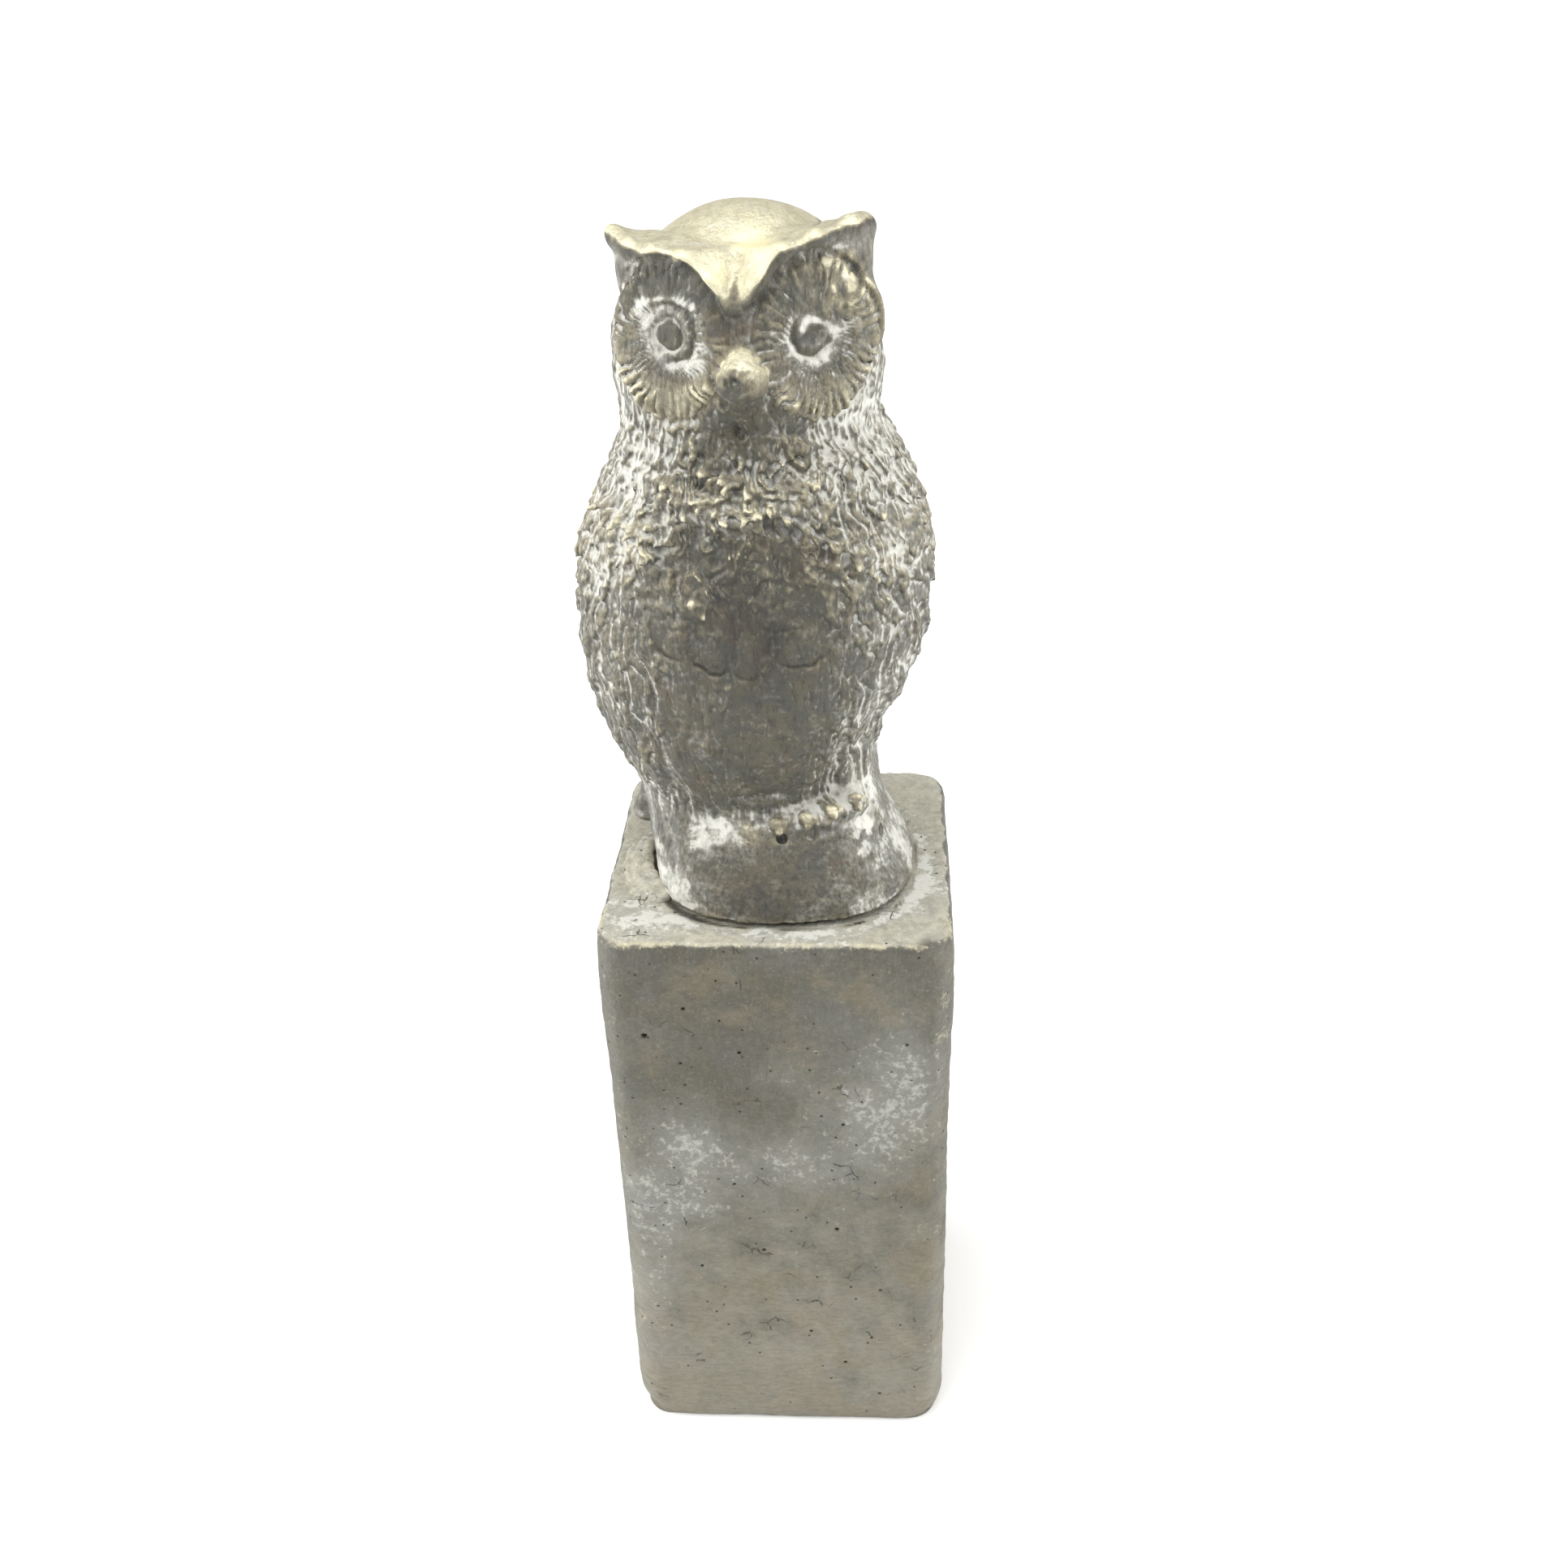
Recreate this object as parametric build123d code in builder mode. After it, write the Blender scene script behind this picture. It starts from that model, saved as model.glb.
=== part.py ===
"""Owl figurine: a cast owl on a round socle, bedded in mortar on a square plinth.

Frame: millimetres, +Z up, origin at the centre of the plinth's underside.
The owl looks along -Y, and +X is on the right of someone who faces it.
"""

import os

from build123d import *

os.makedirs("parts", exist_ok=True)

# Plinth: a square block, cast on its own
PLINTH_SIDE = 75.0
PLINTH_HEIGHT = 143.0
PLINTH_CORNER_RADIUS = 7.0
PLINTH_FOOT_CHAMFER = 1.5
PLINTH_TOP_ROUNDING = 1.6

# Mortar: the bed that joins the two castings, and the strip pressed out beside the socle
BED_THICKNESS = 1.5
BED_INSET = 1.2
STRIP_WIDTH = 3.6
STRIP_HEIGHT = 5.0
STRIP_GAP = 0.9
STRIP_FROM_ANGLE = 164.0
STRIP_TO_ANGLE = 214.0

# Socle: the round rock under the feet, narrower and further left towards its top
SOCLE_UNDERSIDE = PLINTH_HEIGHT + BED_THICKNESS
SOCLE_FOOT_CENTRE = (1.4, -2.6)
SOCLE_FOOT_RADIUS = 29.2
SOCLE_SECTIONS = [  # height above the socle's underside, centre, radii across and in depth
    (0.0, SOCLE_FOOT_CENTRE, SOCLE_FOOT_RADIUS, SOCLE_FOOT_RADIUS),
    (4.0, (0.2, -2.0), 27.4, 27.4),
    (10.0, (-1.2, -1.6), 25.6, 25.0),
    (18.5, (-2.4, -1.2), 23.6, 21.6),
]

# Body: sections from the legs up to the neck
BODY_SECTIONS = [  # height, centre, radii across and in depth
    (158.0, (-2.2, 0.5), 17.0, 15.5),
    (167.0, (-3.6, -0.5), 20.5, 20.5),
    (177.0, (-5.4, -1.0), 28.0, 25.2),
    (188.0, (-5.2, -1.2), 33.6, 28.2),
    (199.0, (-4.0, -1.2), 36.6, 29.6),
    (210.0, (-3.3, -1.0), 37.0, 29.8),
    (221.0, (-3.0, -0.6), 35.8, 28.8),
    (232.0, (-2.7, 0.0), 31.6, 27.0),
    (241.0, (-3.1, 0.2), 27.6, 25.2),
    (249.0, (-3.6, 0.0), 25.0, 24.0),
]

# Head: an ellipsoid whose crown is the top of the object
HEAD_CENTRE = (-3.3, 0.0, 258.0)
HEAD_RADII = (26.4, 25.0, 27.0)
FACE_CENTRE_X = -3.0

# Facial discs, eyes and beak
EYE_SPACING = 26.5
EYE_HEIGHT = 264.8
DISC_RADII = (13.4, 5.5, 13.2)
DISC_CENTRE_Y = -17.6
EYE_RADIUS = 4.6
EYE_CENTRE_Y = -20.6
BEAK_CENTRE = (FACE_CENTRE_X, -22.0, 262.0)
BEAK_RADII = (6.2, 9.0, 10.0)

# Brows that rise from the bridge of the beak into the ear tufts
BROW_START = (FACE_CENTRE_X, -19.5, 269.0)
BROW_LINE = [(12.0, -15.5, 273.2), (19.5, -7.0, 274.8), (25.0, -1.5, 281.2)]  # out from the centre line
BROW_RADII = [3.4, 4.6, 5.4, 1.5]

# Folded wings: their tips hang free beside the tail
WING_SECTION_RADII = [(6.5, 15.0), (5.2, 11.0), (3.0, 6.0)]
LEFT_WING_LINE = [(-28.5, 6.0, 194.0), (-29.0, 9.0, 171.0), (-31.4, 12.0, 148.8)]
RIGHT_WING_LINE = [(20.0, 6.0, 194.0), (16.5, 11.0, 171.0), (17.6, 15.0, 155.0)]

# Tail: a flat fan behind the socle
TAIL_SECTIONS = [  # height, centre, width and thickness
    (196.0, (-4.5, 18.0), 40.0, 14.0),
    (172.0, (-5.5, 23.0), 36.0, 9.0),
    (147.5, (-6.0, 27.0), 27.0, 5.0),
]

# A ball at a horn's joint is a little wider than the horn, so that their faces cross cleanly
BALL_OVERSIZE = 1.06

# Feet: toes that lie on the socle's rim, each with a claw that hooks over it
TOE_RADIUS = 2.5
CLAW_RADIUS = 1.7
CLAW_DROP = 5.0
CLAW_REACH = 2.0
FOOT_HEIGHT = 163.8
TOE_RISE = 0.6  # of a toe's back above its front
TOE_BACKS = [(-5.0, -14.0), (-1.5, -14.5), (2.0, -14.0), (8.0, -13.5), (11.0, -12.5), (13.5, -11.0)]
TOE_FRONTS = [(-9.6, -21.4), (-4.6, -23.2), (1.4, -24.0), (7.4, -23.4), (12.6, -21.8), (17.6, -18.6)]


def ellipse_section(height, centre, radius_across, radius_deep):
    """A horizontal ellipse, as one section of a loft."""
    with BuildSketch(Plane.XY.offset(height)) as section:
        with Locations(centre):
            Ellipse(radius_across, radius_deep)
    return section.sketch


def slab_section(height, centre, width, thickness):
    """A horizontal flat bar with rounded ends, as one section of a loft."""
    with BuildSketch(Plane.XY.offset(height)) as section:
        with Locations(centre):
            RectangleRounded(width, thickness, thickness * 0.45)
    return section.sketch


def round_section(centre, direction, radius):
    """A circle square to a direction, as one section of a loft."""
    with BuildSketch(Plane(origin=centre, z_dir=direction)) as section:
        Circle(radius)
    return section.sketch


def ellipsoid(centre, radii):
    """Add an ellipsoid to the part that is open."""
    ball = scale(Sphere(1.0, mode=Mode.PRIVATE), by=radii, mode=Mode.PRIVATE)
    add(Pos(*centre) * ball)


def horn(points, radii):
    """Add a straight-sided horn: round sections lofted from point to point, with a ball at each."""
    for (start, end), (start_radius, end_radius) in zip(zip(points, points[1:]), zip(radii, radii[1:])):
        direction = Vector(*end) - Vector(*start)
        loft([round_section(start, direction, start_radius), round_section(end, direction, end_radius)])
    for point, radius in zip(points, radii):
        with Locations(point):
            Sphere(radius * BALL_OVERSIZE)


def mirrored(side, point):
    """Place a point, given outwards from the face's centre line, on the left (-1) or the right (1)."""
    return (FACE_CENTRE_X + side * point[0], point[1], point[2])


# The square block that everything stands on
with BuildPart() as plinth:
    with BuildSketch():
        RectangleRounded(PLINTH_SIDE, PLINTH_SIDE, PLINTH_CORNER_RADIUS)
    extrude(amount=PLINTH_HEIGHT)
    chamfer(plinth.faces().sort_by(Axis.Z)[0].edges(), PLINTH_FOOT_CHAMFER)
    fillet(plinth.faces().sort_by(Axis.Z)[-1].edges(), PLINTH_TOP_ROUNDING)

# The mortar between the castings, and the curb that was pressed out on the left
with BuildPart() as mortar_bed:
    bed_plane = Plane(origin=(*SOCLE_FOOT_CENTRE, PLINTH_HEIGHT))
    strip_inner = SOCLE_FOOT_RADIUS + STRIP_GAP
    strip_span = STRIP_TO_ANGLE - STRIP_FROM_ANGLE
    with BuildSketch(bed_plane):
        Circle(SOCLE_FOOT_RADIUS - BED_INSET)
    extrude(amount=BED_THICKNESS)
    with BuildSketch(bed_plane) as strip_footing:
        with BuildLine():
            CenterArc((0, 0), strip_inner + STRIP_WIDTH, STRIP_FROM_ANGLE, strip_span)
            Line((0, 0), PolarLocations(strip_inner + STRIP_WIDTH, 1, STRIP_FROM_ANGLE).locations[0].position)
            Line((0, 0), PolarLocations(strip_inner + STRIP_WIDTH, 1, STRIP_TO_ANGLE).locations[0].position)
        make_face()
    extrude(amount=BED_THICKNESS)
    with BuildSketch(bed_plane):
        add(strip_footing.sketch_local)
        Circle(strip_inner, mode=Mode.SUBTRACT)
    extrude(amount=STRIP_HEIGHT)

# The owl: one casting from the socle to the ear tufts
with BuildPart() as owl_figure:
    loft([ellipse_section(SOCLE_UNDERSIDE + rise, *outline) for rise, *outline in SOCLE_SECTIONS])
    loft([ellipse_section(*section) for section in BODY_SECTIONS])
    loft([slab_section(*section) for section in TAIL_SECTIONS])
    for wing_line in (LEFT_WING_LINE, RIGHT_WING_LINE):
        loft(
            [
                ellipse_section(height, (x, y), *radii)
                for (x, y, height), radii in zip(wing_line, WING_SECTION_RADII)
            ]
        )

    ellipsoid(HEAD_CENTRE, HEAD_RADII)
    ellipsoid(BEAK_CENTRE, BEAK_RADII)
    for side in (-1, 1):
        eye_x = FACE_CENTRE_X + side * EYE_SPACING / 2
        ellipsoid((eye_x, DISC_CENTRE_Y, EYE_HEIGHT), DISC_RADII)
        with Locations((eye_x, EYE_CENTRE_Y, EYE_HEIGHT)):
            Sphere(EYE_RADIUS)
        horn([BROW_START, *(mirrored(side, point) for point in BROW_LINE)], BROW_RADII)

    for (back_x, back_y), (front_x, front_y) in zip(TOE_BACKS, TOE_FRONTS):
        toe_back = (back_x, back_y, FOOT_HEIGHT + TOE_RISE)
        toe_front = (front_x, front_y, FOOT_HEIGHT)
        claw_tip = (front_x, front_y - CLAW_REACH, FOOT_HEIGHT - CLAW_DROP)
        horn([toe_back, toe_front, claw_tip], [TOE_RADIUS, TOE_RADIUS, CLAW_RADIUS])

plinth.part.label = "plinth"
export_step(plinth.part, "parts/plinth.step")

mortar_bed.part.label = "mortar_bed"
export_step(mortar_bed.part, "parts/mortar_bed.step")

owl_figure.part.label = "owl_figure"
export_step(owl_figure.part, "parts/owl_figure.step")
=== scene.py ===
"""Owl figurine: a cast owl on a socle, bedded in mortar on a tall plinth.

The castings are modelled as distance fields that are blended, carved and meshed, and then
given their plumage, wear, paint, and painted light and shade, vertex by vertex. Lengths in this
script are millimetres in the frame's own axes, and become metres only where a mesh or an object is made.
"""

import itertools
import math

import bmesh
import bpy
import numpy as np
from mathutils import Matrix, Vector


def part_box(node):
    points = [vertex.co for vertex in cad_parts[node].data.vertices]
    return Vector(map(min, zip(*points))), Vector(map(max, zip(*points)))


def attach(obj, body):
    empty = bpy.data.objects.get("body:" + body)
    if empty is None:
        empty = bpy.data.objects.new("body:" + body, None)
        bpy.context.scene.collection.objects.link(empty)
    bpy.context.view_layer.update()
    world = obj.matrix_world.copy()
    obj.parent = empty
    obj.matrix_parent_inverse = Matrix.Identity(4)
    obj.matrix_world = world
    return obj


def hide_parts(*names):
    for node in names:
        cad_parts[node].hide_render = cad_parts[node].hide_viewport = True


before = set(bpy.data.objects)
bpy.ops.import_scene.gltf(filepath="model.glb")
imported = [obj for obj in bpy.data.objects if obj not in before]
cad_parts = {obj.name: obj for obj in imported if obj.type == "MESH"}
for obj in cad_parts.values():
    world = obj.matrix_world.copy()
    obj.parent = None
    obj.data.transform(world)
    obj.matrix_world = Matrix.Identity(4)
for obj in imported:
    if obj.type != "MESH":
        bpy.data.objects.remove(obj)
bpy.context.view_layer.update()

import openvdb
from mathutils import Matrix, Vector

MM = 0.001

# ---------------------------------------------------------------- places read from the frame


def box_mm(node):
    """A node's lowest and highest corners, in millimetres."""
    return tuple(np.array(corner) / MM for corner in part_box(node))


PLINTH_LOW, PLINTH_HIGH = box_mm("plinth")
OWL_LOW, OWL_HIGH = box_mm("owl_figure")
DECK = PLINTH_HIGH[2]  # the plinth's top face
CROWN = OWL_HIGH[2]  # the top of the head
UNDERSIDE = OWL_LOW[2]  # of the socle

# ---------------------------------------------------------------- how fine the meshes are

OWL_PITCH = 0.38
MORTAR_PITCH = 0.35
PLINTH_PITCH = 0.75
BAND = 3  # samples of distance kept on each side of a surface
FAR = 1.0e3

# ---------------------------------------------------------------- the owl's own measures

HEAD_RADII = np.array((26.0, 24.6, 27.0))
HEAD = np.array((-3.3, 0.0, CROWN - HEAD_RADII[2]))
FACE_X = -3.0
DISC_OUT = 13.95  # of a facial disc's middle from the face's centre line
DISC_Z = CROWN - 21.2
DISC_RADIUS = 14.8
DISC_NARROW = 1.17  # how much taller than wide a disc is
DISC_TURN = math.radians(28)  # each disc faces this far outwards
DISC_TILT = math.radians(5)  # and this far up
EYES = {-1: (0.1, 1.0), 1: (-0.7, 1.1)}  # each eye's middle, across its disc and up it
EYE_SHAPE = {-1: (0.77, 0.93), 1: (0.92, 0.84)}  # how much narrower and lower than round its rings are

BODY_SECTIONS = [  # height above the deck, and the reach to the left, right, front and back
    (12, -22, 16, -16.0, 16.0),
    (20, -27, 17.4, -20.0, 20.0),
    (27, -32, 18.0, -23.0, 22.5),
    (32, -34.4, 19.8, -25.2, 24.0),
    (37, -36.4, 22.4, -27.0, 25.2),
    (42, -38.0, 25.6, -28.3, 26.3),
    (51, -39.8, 30.2, -30.0, 27.6),
    (60, -40.3, 32.5, -30.4, 28.4),
    (69, -39.7, 32.9, -30.2, 28.6),
    (77, -38.4, 32.2, -29.2, 28.2),
    (85, -34.9, 30.0, -27.6, 27.5),
    (90, -32.7, 27.8, -26.2, 26.8),
    (97, -29.6, 24.0, -24.0, 25.8),
    (103, -28.4, 21.0, -21.4, 25.0),
    (110, -27.6, 20.2, -17.0, 24.4),
]
BODY_SQUARENESS = 2.15

# ---------------------------------------------------------------- numbers


def smooth_step(low, high, value):
    """0 below low, 1 above high, and a smooth rise between them."""
    t = np.clip((value - low) / (high - low), 0, 1)
    return t * t * (3 - 2 * t)


def unit(vectors):
    """Vectors made one long."""
    return vectors / np.maximum(np.linalg.norm(vectors, axis=-1, keepdims=True), 1e-9)


NOISE_TABLE = np.random.default_rng(11).uniform(-1, 1, (64, 64, 64)).astype(np.float32)


def value_noise(points, size, seed=0):
    """Smooth noise from -1 to 1 at the points, with bumps about size millimetres across."""
    place = points / size + (seed * 13.7, seed * 7.1, seed * 3.3)
    cell = np.floor(place).astype(np.int64)
    part = place - cell
    part = part * part * (3 - 2 * part)
    total = np.zeros(len(points))
    for corner in itertools.product((0, 1), repeat=3):
        x, y, z = ((cell + corner) % 64).T
        total += NOISE_TABLE[x, y, z] * np.where(corner, part, 1 - part).prod(axis=1)
    return total


def cloud(points, size, seed=0, octaves=3):
    """Value noise with finer layers added, each half as strong as the one before."""
    layers = [value_noise(points, size / 2**k, seed + k) / 2**k for k in range(octaves)]
    return sum(layers) / (2 - 0.5 ** (octaves - 1))


# ---------------------------------------------------------------- clay: shapes as distance fields


def blend_min(a, b, fillet):
    """The nearer of two distances, with a fillet where the two shapes meet."""
    near = np.maximum(fillet - np.abs(a - b), 0) / fillet
    return np.minimum(a, b) - near * near * fillet / 4


class Clay:
    """A block of distances, in millimetres, that shapes are joined to and cut from."""

    def __init__(self, low, high, pitch):
        self.pitch = pitch
        self.low = np.array(low, float)
        self.axes = [np.arange(a, b, pitch, dtype=np.float32) for a, b in zip(low, high)]
        self.field = np.full([len(axis) for axis in self.axes], FAR, np.float32)

    def near(self, low, high):
        """The samples in a box: their slices, and their coordinates as three thin arrays."""
        ends = zip(self.axes, zip(low, high))
        spans = tuple(slice(*np.searchsorted(axis, pair)) for axis, pair in ends)
        x, y, z = (axis[span] for axis, span in zip(self.axes, spans))
        return spans, (x[:, None, None], y[None, :, None], z[None, None, :])

    def join(self, shape, fillet=1.0):
        """Add a shape, with a fillet round it."""
        low, high, distance = shape
        spans, place = self.near(np.array(low) - fillet - 2, np.array(high) + fillet + 2)
        self.field[spans] = blend_min(self.field[spans], distance(*place), fillet)

    def join_line(self, places, radius, fillet):
        """Add a bent round bar through some places."""
        for start, end in zip(places, places[1:]):
            self.join(limb(start, end, radius, radius), fillet)

    def cut(self, shape, fillet=0.5):
        """Take a shape away, with its edge rounded."""
        low, high, distance = shape
        spans, place = self.near(np.array(low) - fillet - 2, np.array(high) + fillet + 2)
        self.field[spans] = -blend_min(-self.field[spans], distance(*place), fillet)

    def mesh(self, name):
        """A new object whose mesh is the clay's surface, still in millimetres."""
        band = BAND * self.pitch
        grid = openvdb.FloatGrid(band)
        grid.copyFromArray(np.clip(self.field, -band, band))
        points, triangles, quads = grid.convertToPolygons(0.0, 0.0)
        data = bpy.data.meshes.new(name)
        faces = [*quads.tolist(), *triangles.tolist()]
        data.from_pydata((points * self.pitch + self.low).tolist(), [], faces)
        data.update()
        return data


def egg(centre, radii, frame_axes=None):
    """An ellipsoid, whose axes are the rows of frame_axes where they are given."""
    centre = np.array(centre, float)
    radii = np.array(radii, float)
    axes = np.eye(3) if frame_axes is None else np.array(frame_axes, float)
    reach = np.sqrt(((axes * radii[:, None]) ** 2).sum(axis=0))

    def distance(x, y, z):
        x, y, z = x - centre[0], y - centre[1], z - centre[2]
        along = [(a[0] * x + a[1] * y + a[2] * z) / r for a, r in zip(axes, radii)]
        size = np.sqrt(sum(t * t for t in along))
        slope = np.sqrt(sum((t / r) ** 2 for t, r in zip(along, radii)))
        return size * (size - 1) / np.maximum(slope, 1e-6)

    return centre - reach, centre + reach, distance


def limb(start, end, start_radius, end_radius):
    """A round bar whose radius changes evenly from one end to the other."""
    start, end = np.array(start, float), np.array(end, float)
    line = end - start
    widest = max(start_radius, end_radius)

    def distance(x, y, z):
        gap = (x - start[0], y - start[1], z - start[2])
        share = np.clip(sum(g * along for g, along in zip(gap, line)) / (line @ line), 0, 1)
        away = np.sqrt(sum((g - share * along) ** 2 for g, along in zip(gap, line)))
        return away - (start_radius + share * (end_radius - start_radius))

    return np.minimum(start, end) - widest, np.maximum(start, end) + widest, distance


def plug(floor, radius, axes, narrow=1.0):
    """A short round plug that stands on its floor, out of a facial disc."""
    across, up, out = axes
    height = 14.0

    def distance(x, y, z):
        x, y, z = x - floor[0], y - floor[1], z - floor[2]
        u, v, w = (a[0] * x + a[1] * y + a[2] * z for a in (across, up, out))
        side = np.sqrt((u * narrow) ** 2 + v * v) - radius
        ends = np.abs(w - height / 2) - height / 2
        return np.maximum(side, ends)

    middle = floor + out * height / 2
    return middle - radius - 2, middle + radius + 2, distance


def plate(a, b, c, radius):
    """A triangular plate with round edges, twice its radius thick."""
    corners = [np.array(corner, float) for corner in (a, b, c)]
    edges = [corners[(k + 1) % 3] - corners[k] for k in range(3)]
    facing = unit(np.cross(edges[0], -edges[2]))

    def distance(x, y, z):
        outside, rim = False, None
        for corner, edge in zip(corners, edges):
            gap = (x - corner[0], y - corner[1], z - corner[2])
            fence = np.cross(edge, facing)
            outside = outside | (sum(f * g for f, g in zip(fence, gap)) > 0)
            share = np.clip(sum(e * g for e, g in zip(edge, gap)) / (edge @ edge), 0, 1)
            away = sum((g - share * e) ** 2 for e, g in zip(edge, gap))
            rim = away if rim is None else np.minimum(rim, away)
        flat = sum(f * g for f, g in zip(facing, gap)) ** 2
        return np.sqrt(np.where(outside, rim, flat)) - radius

    return np.min(corners, axis=0) - radius, np.max(corners, axis=0) + radius, distance


def coin(centre, radius, thickness, rounding, axes, narrow=1.0):
    """A flat disc with a rounded rim, across its own axes."""
    across, up, out = axes
    centre = np.array(centre, float)

    def distance(x, y, z):
        x, y, z = x - centre[0], y - centre[1], z - centre[2]
        u, v, w = (a[0] * x + a[1] * y + a[2] * z for a in (across, up, out))
        side = np.sqrt((u * narrow) ** 2 + v * v) - (radius - rounding)
        ends = np.abs(w) - (thickness / 2 - rounding)
        gap = np.sqrt(np.maximum(side, 0) ** 2 + np.maximum(ends, 0) ** 2)
        return gap + np.minimum(np.maximum(side, ends), 0) - rounding

    return centre - radius - thickness, centre + radius + thickness, distance


def column(sections, squareness=2.0):
    """A column whose reach to the left, right, front and back is given at some heights."""
    rows = np.array(sections, float)
    fine = np.arange(rows[0, 0], rows[-1, 0], 0.5)
    kernel = np.hanning(17)
    kernel /= kernel.sum()
    soft = []
    for side in rows[:, 1:].T:
        line = np.interp(fine, rows[:, 0], side)
        soft.append(np.convolve(np.pad(line, 8, mode="edge"), kernel, mode="valid"))
    bottom, top = rows[0, 0], rows[-1, 0]

    def distance(x, y, z):
        left, right, front, back = (np.interp(z.ravel(), fine, line)[None, None, :] for line in soft)
        middle_x, middle_y = (left + right) / 2, (front + back) / 2
        reach_x, reach_y = (right - left) / 2, (back - front) / 2
        u = np.abs(x - middle_x) / reach_x
        v = np.abs(y - middle_y) / reach_y
        size = (u**squareness + v**squareness) ** (1 / squareness)
        side = (size - 1) * np.minimum(reach_x, reach_y)
        return np.maximum(side, np.maximum(bottom - z, z - top))

    low = (rows[:, 1].min(), rows[:, 3].min(), bottom)
    high = (rows[:, 2].max(), rows[:, 4].max(), top)
    return low, high, distance


# ---------------------------------------------------------------- the owl's clay


def face_frame(side):
    """A facial disc's own axes: across it, up it, and straight out of it."""
    out = np.array((side * math.sin(DISC_TURN), -math.cos(DISC_TURN), math.tan(DISC_TILT)))
    out /= np.linalg.norm(out)
    across = np.cross((0, 0, 1), out)
    across /= np.linalg.norm(across)
    return across, np.cross(out, across), out


def disc_centre(side):
    """The middle of a facial disc, on its surface."""
    return np.array((FACE_X + side * DISC_OUT + 0.1, -19.2, DISC_Z))


def below_crown(*places):
    """Places given across, forward and down from the top of the head."""
    return [(x, y, CROWN - down) for x, y, down in places]


BRIDGE, SADDLE = below_crown((FACE_X - 0.8, -23.2, 13.6), (FACE_X - 0.4, -15.2, 7.8))
BROWS = {  # from the bridge to near the tuft's tip, behind that across the crown, and the tip
    -1: (
        below_crown((-8.4, -22.0, 9.9), (-13.0, -19.6, 6.9), (-18.6, -16.0, 6.5), (-23.4, -11.6, 6.0)),
        below_crown((-11.0, -9.5, 5.6), (-19.0, -6.0, 6.2)),
        (-27.0, -6.0, CROWN - 4.5),
    ),
    1: (
        below_crown((0.9, -22.4, 10.0), (4.7, -20.4, 5.8), (10.8, -17.0, 4.2), (17.0, -10.8, 3.4)),
        below_crown((5.0, -9.5, 5.6), (12.8, -5.8, 5.0)),
        (18.8, -6.0, CROWN - 4.2),
    ),
}
BROW_EDGE = [(x, CROWN - down) for x, down in (  # the brows' lower edge, from left to right
    (-28.2, 6.2), (-23.3, 7.7), (-16.9, 8.1), (-13.3, 8.4), (-9.9, 10.1), (-7.3, 12.7), (-5.3, 14.8),
    (-3.8, 15.6), (-1.3, 14.5), (0.4, 12.1), (2.8, 8.9), (4.7, 6.9), (8.0, 6.3), (13.2, 4.9), (19.8, 4.2),
)]
UNDER_BROWS = [  # the solid parts of the forehead under the brows, and their radius
    (below_crown((-21.8, -8.0, 13.0), (-21.5, -8.6, 10.4), (-14.0, -13.0, 10.4), (-5.0, -17.4, 11.2)), 4.4),
    (below_crown((15.8, -8.0, 13.5), (15.4, -9.0, 9.0), (8.6, -13.4, 9.2), (-1.0, -17.8, 11.2)), 4.6),
]


def add_brow(clay, side):
    """A sharp brow from the bridge of the beak to the tip of an ear tuft."""
    (inner, rise, middle, outer), (near, far), tip = BROWS[side]
    faces = [
        (BRIDGE, inner, SADDLE), (inner, rise, SADDLE), (rise, near, SADDLE), (rise, middle, near),
        (middle, far, near), (middle, outer, far), (outer, tip, far),
    ]
    for corners in faces:
        clay.join(plate(*corners, 1.5), 1.6)
    if side > 0:
        lower = (17.0, -8.0, CROWN - 11.5)
        clay.join(plate(outer, tip, lower, 2.0), 2.5)
        clay.join(plate(tip, lower, (13.0, -6.0, CROWN - 9.0), 2.0), 2.5)
        clay.join(egg((18.4, -11.0, CROWN - 18.5), (4.4, 4.5, 6.0)), 3.0)
    else:
        clay.join(plate(outer, tip, (-27.2, -7.0, CROWN - 5.6), 1.0), 1.0)
        clay.join(plate(outer, tip, (-24.2, -9.0, CROWN - 12.0), 1.2), 1.5)


def add_head(clay):
    """The skull, the facial discs, the brows that rise into the ear tufts, and the beak."""
    clay.join(egg(HEAD, HEAD_RADII), 5.0)
    for line, radius in UNDER_BROWS:
        clay.join_line(line, radius, 3.0)
    for side in (-1, 1):
        axes = face_frame(side)
        out = axes[2]
        middle = disc_centre(side)
        clay.cut(plug(middle - 0.6 * out, DISC_RADIUS + 0.6, axes, DISC_NARROW), 0.4)
        clay.join(coin(middle - 2.4 * out, DISC_RADIUS + 0.7, 4.8, 1.2, axes, DISC_NARROW), 0.5)
        clay.cut(egg(middle + 7.6 * out, (10.5, 12.5, 8.6), axes), 2.0)
    clay.join(limb((BRIDGE[0], -20.6, BRIDGE[2] + 1.0), (FACE_X, -20.8, CROWN - 21.0), 3.2, 2.8), 1.2)
    for side in (-1, 1):
        add_brow(clay, side)
    parting = (BRIDGE[0], BRIDGE[1] - 2.4, BRIDGE[2] + 1.0)
    clay.cut(limb((FACE_X - 0.4, -19.0, CROWN - 4.6), parting, 1.4, 0.9), 2.2)
    add_beak(clay)


CHIP = np.array((FACE_X - 0.8, -29.6, CROWN - 26.3))  # where the beak's tip is broken off
CHIP_FACING = unit(np.array((-0.30, -0.90, -0.32)))


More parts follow.
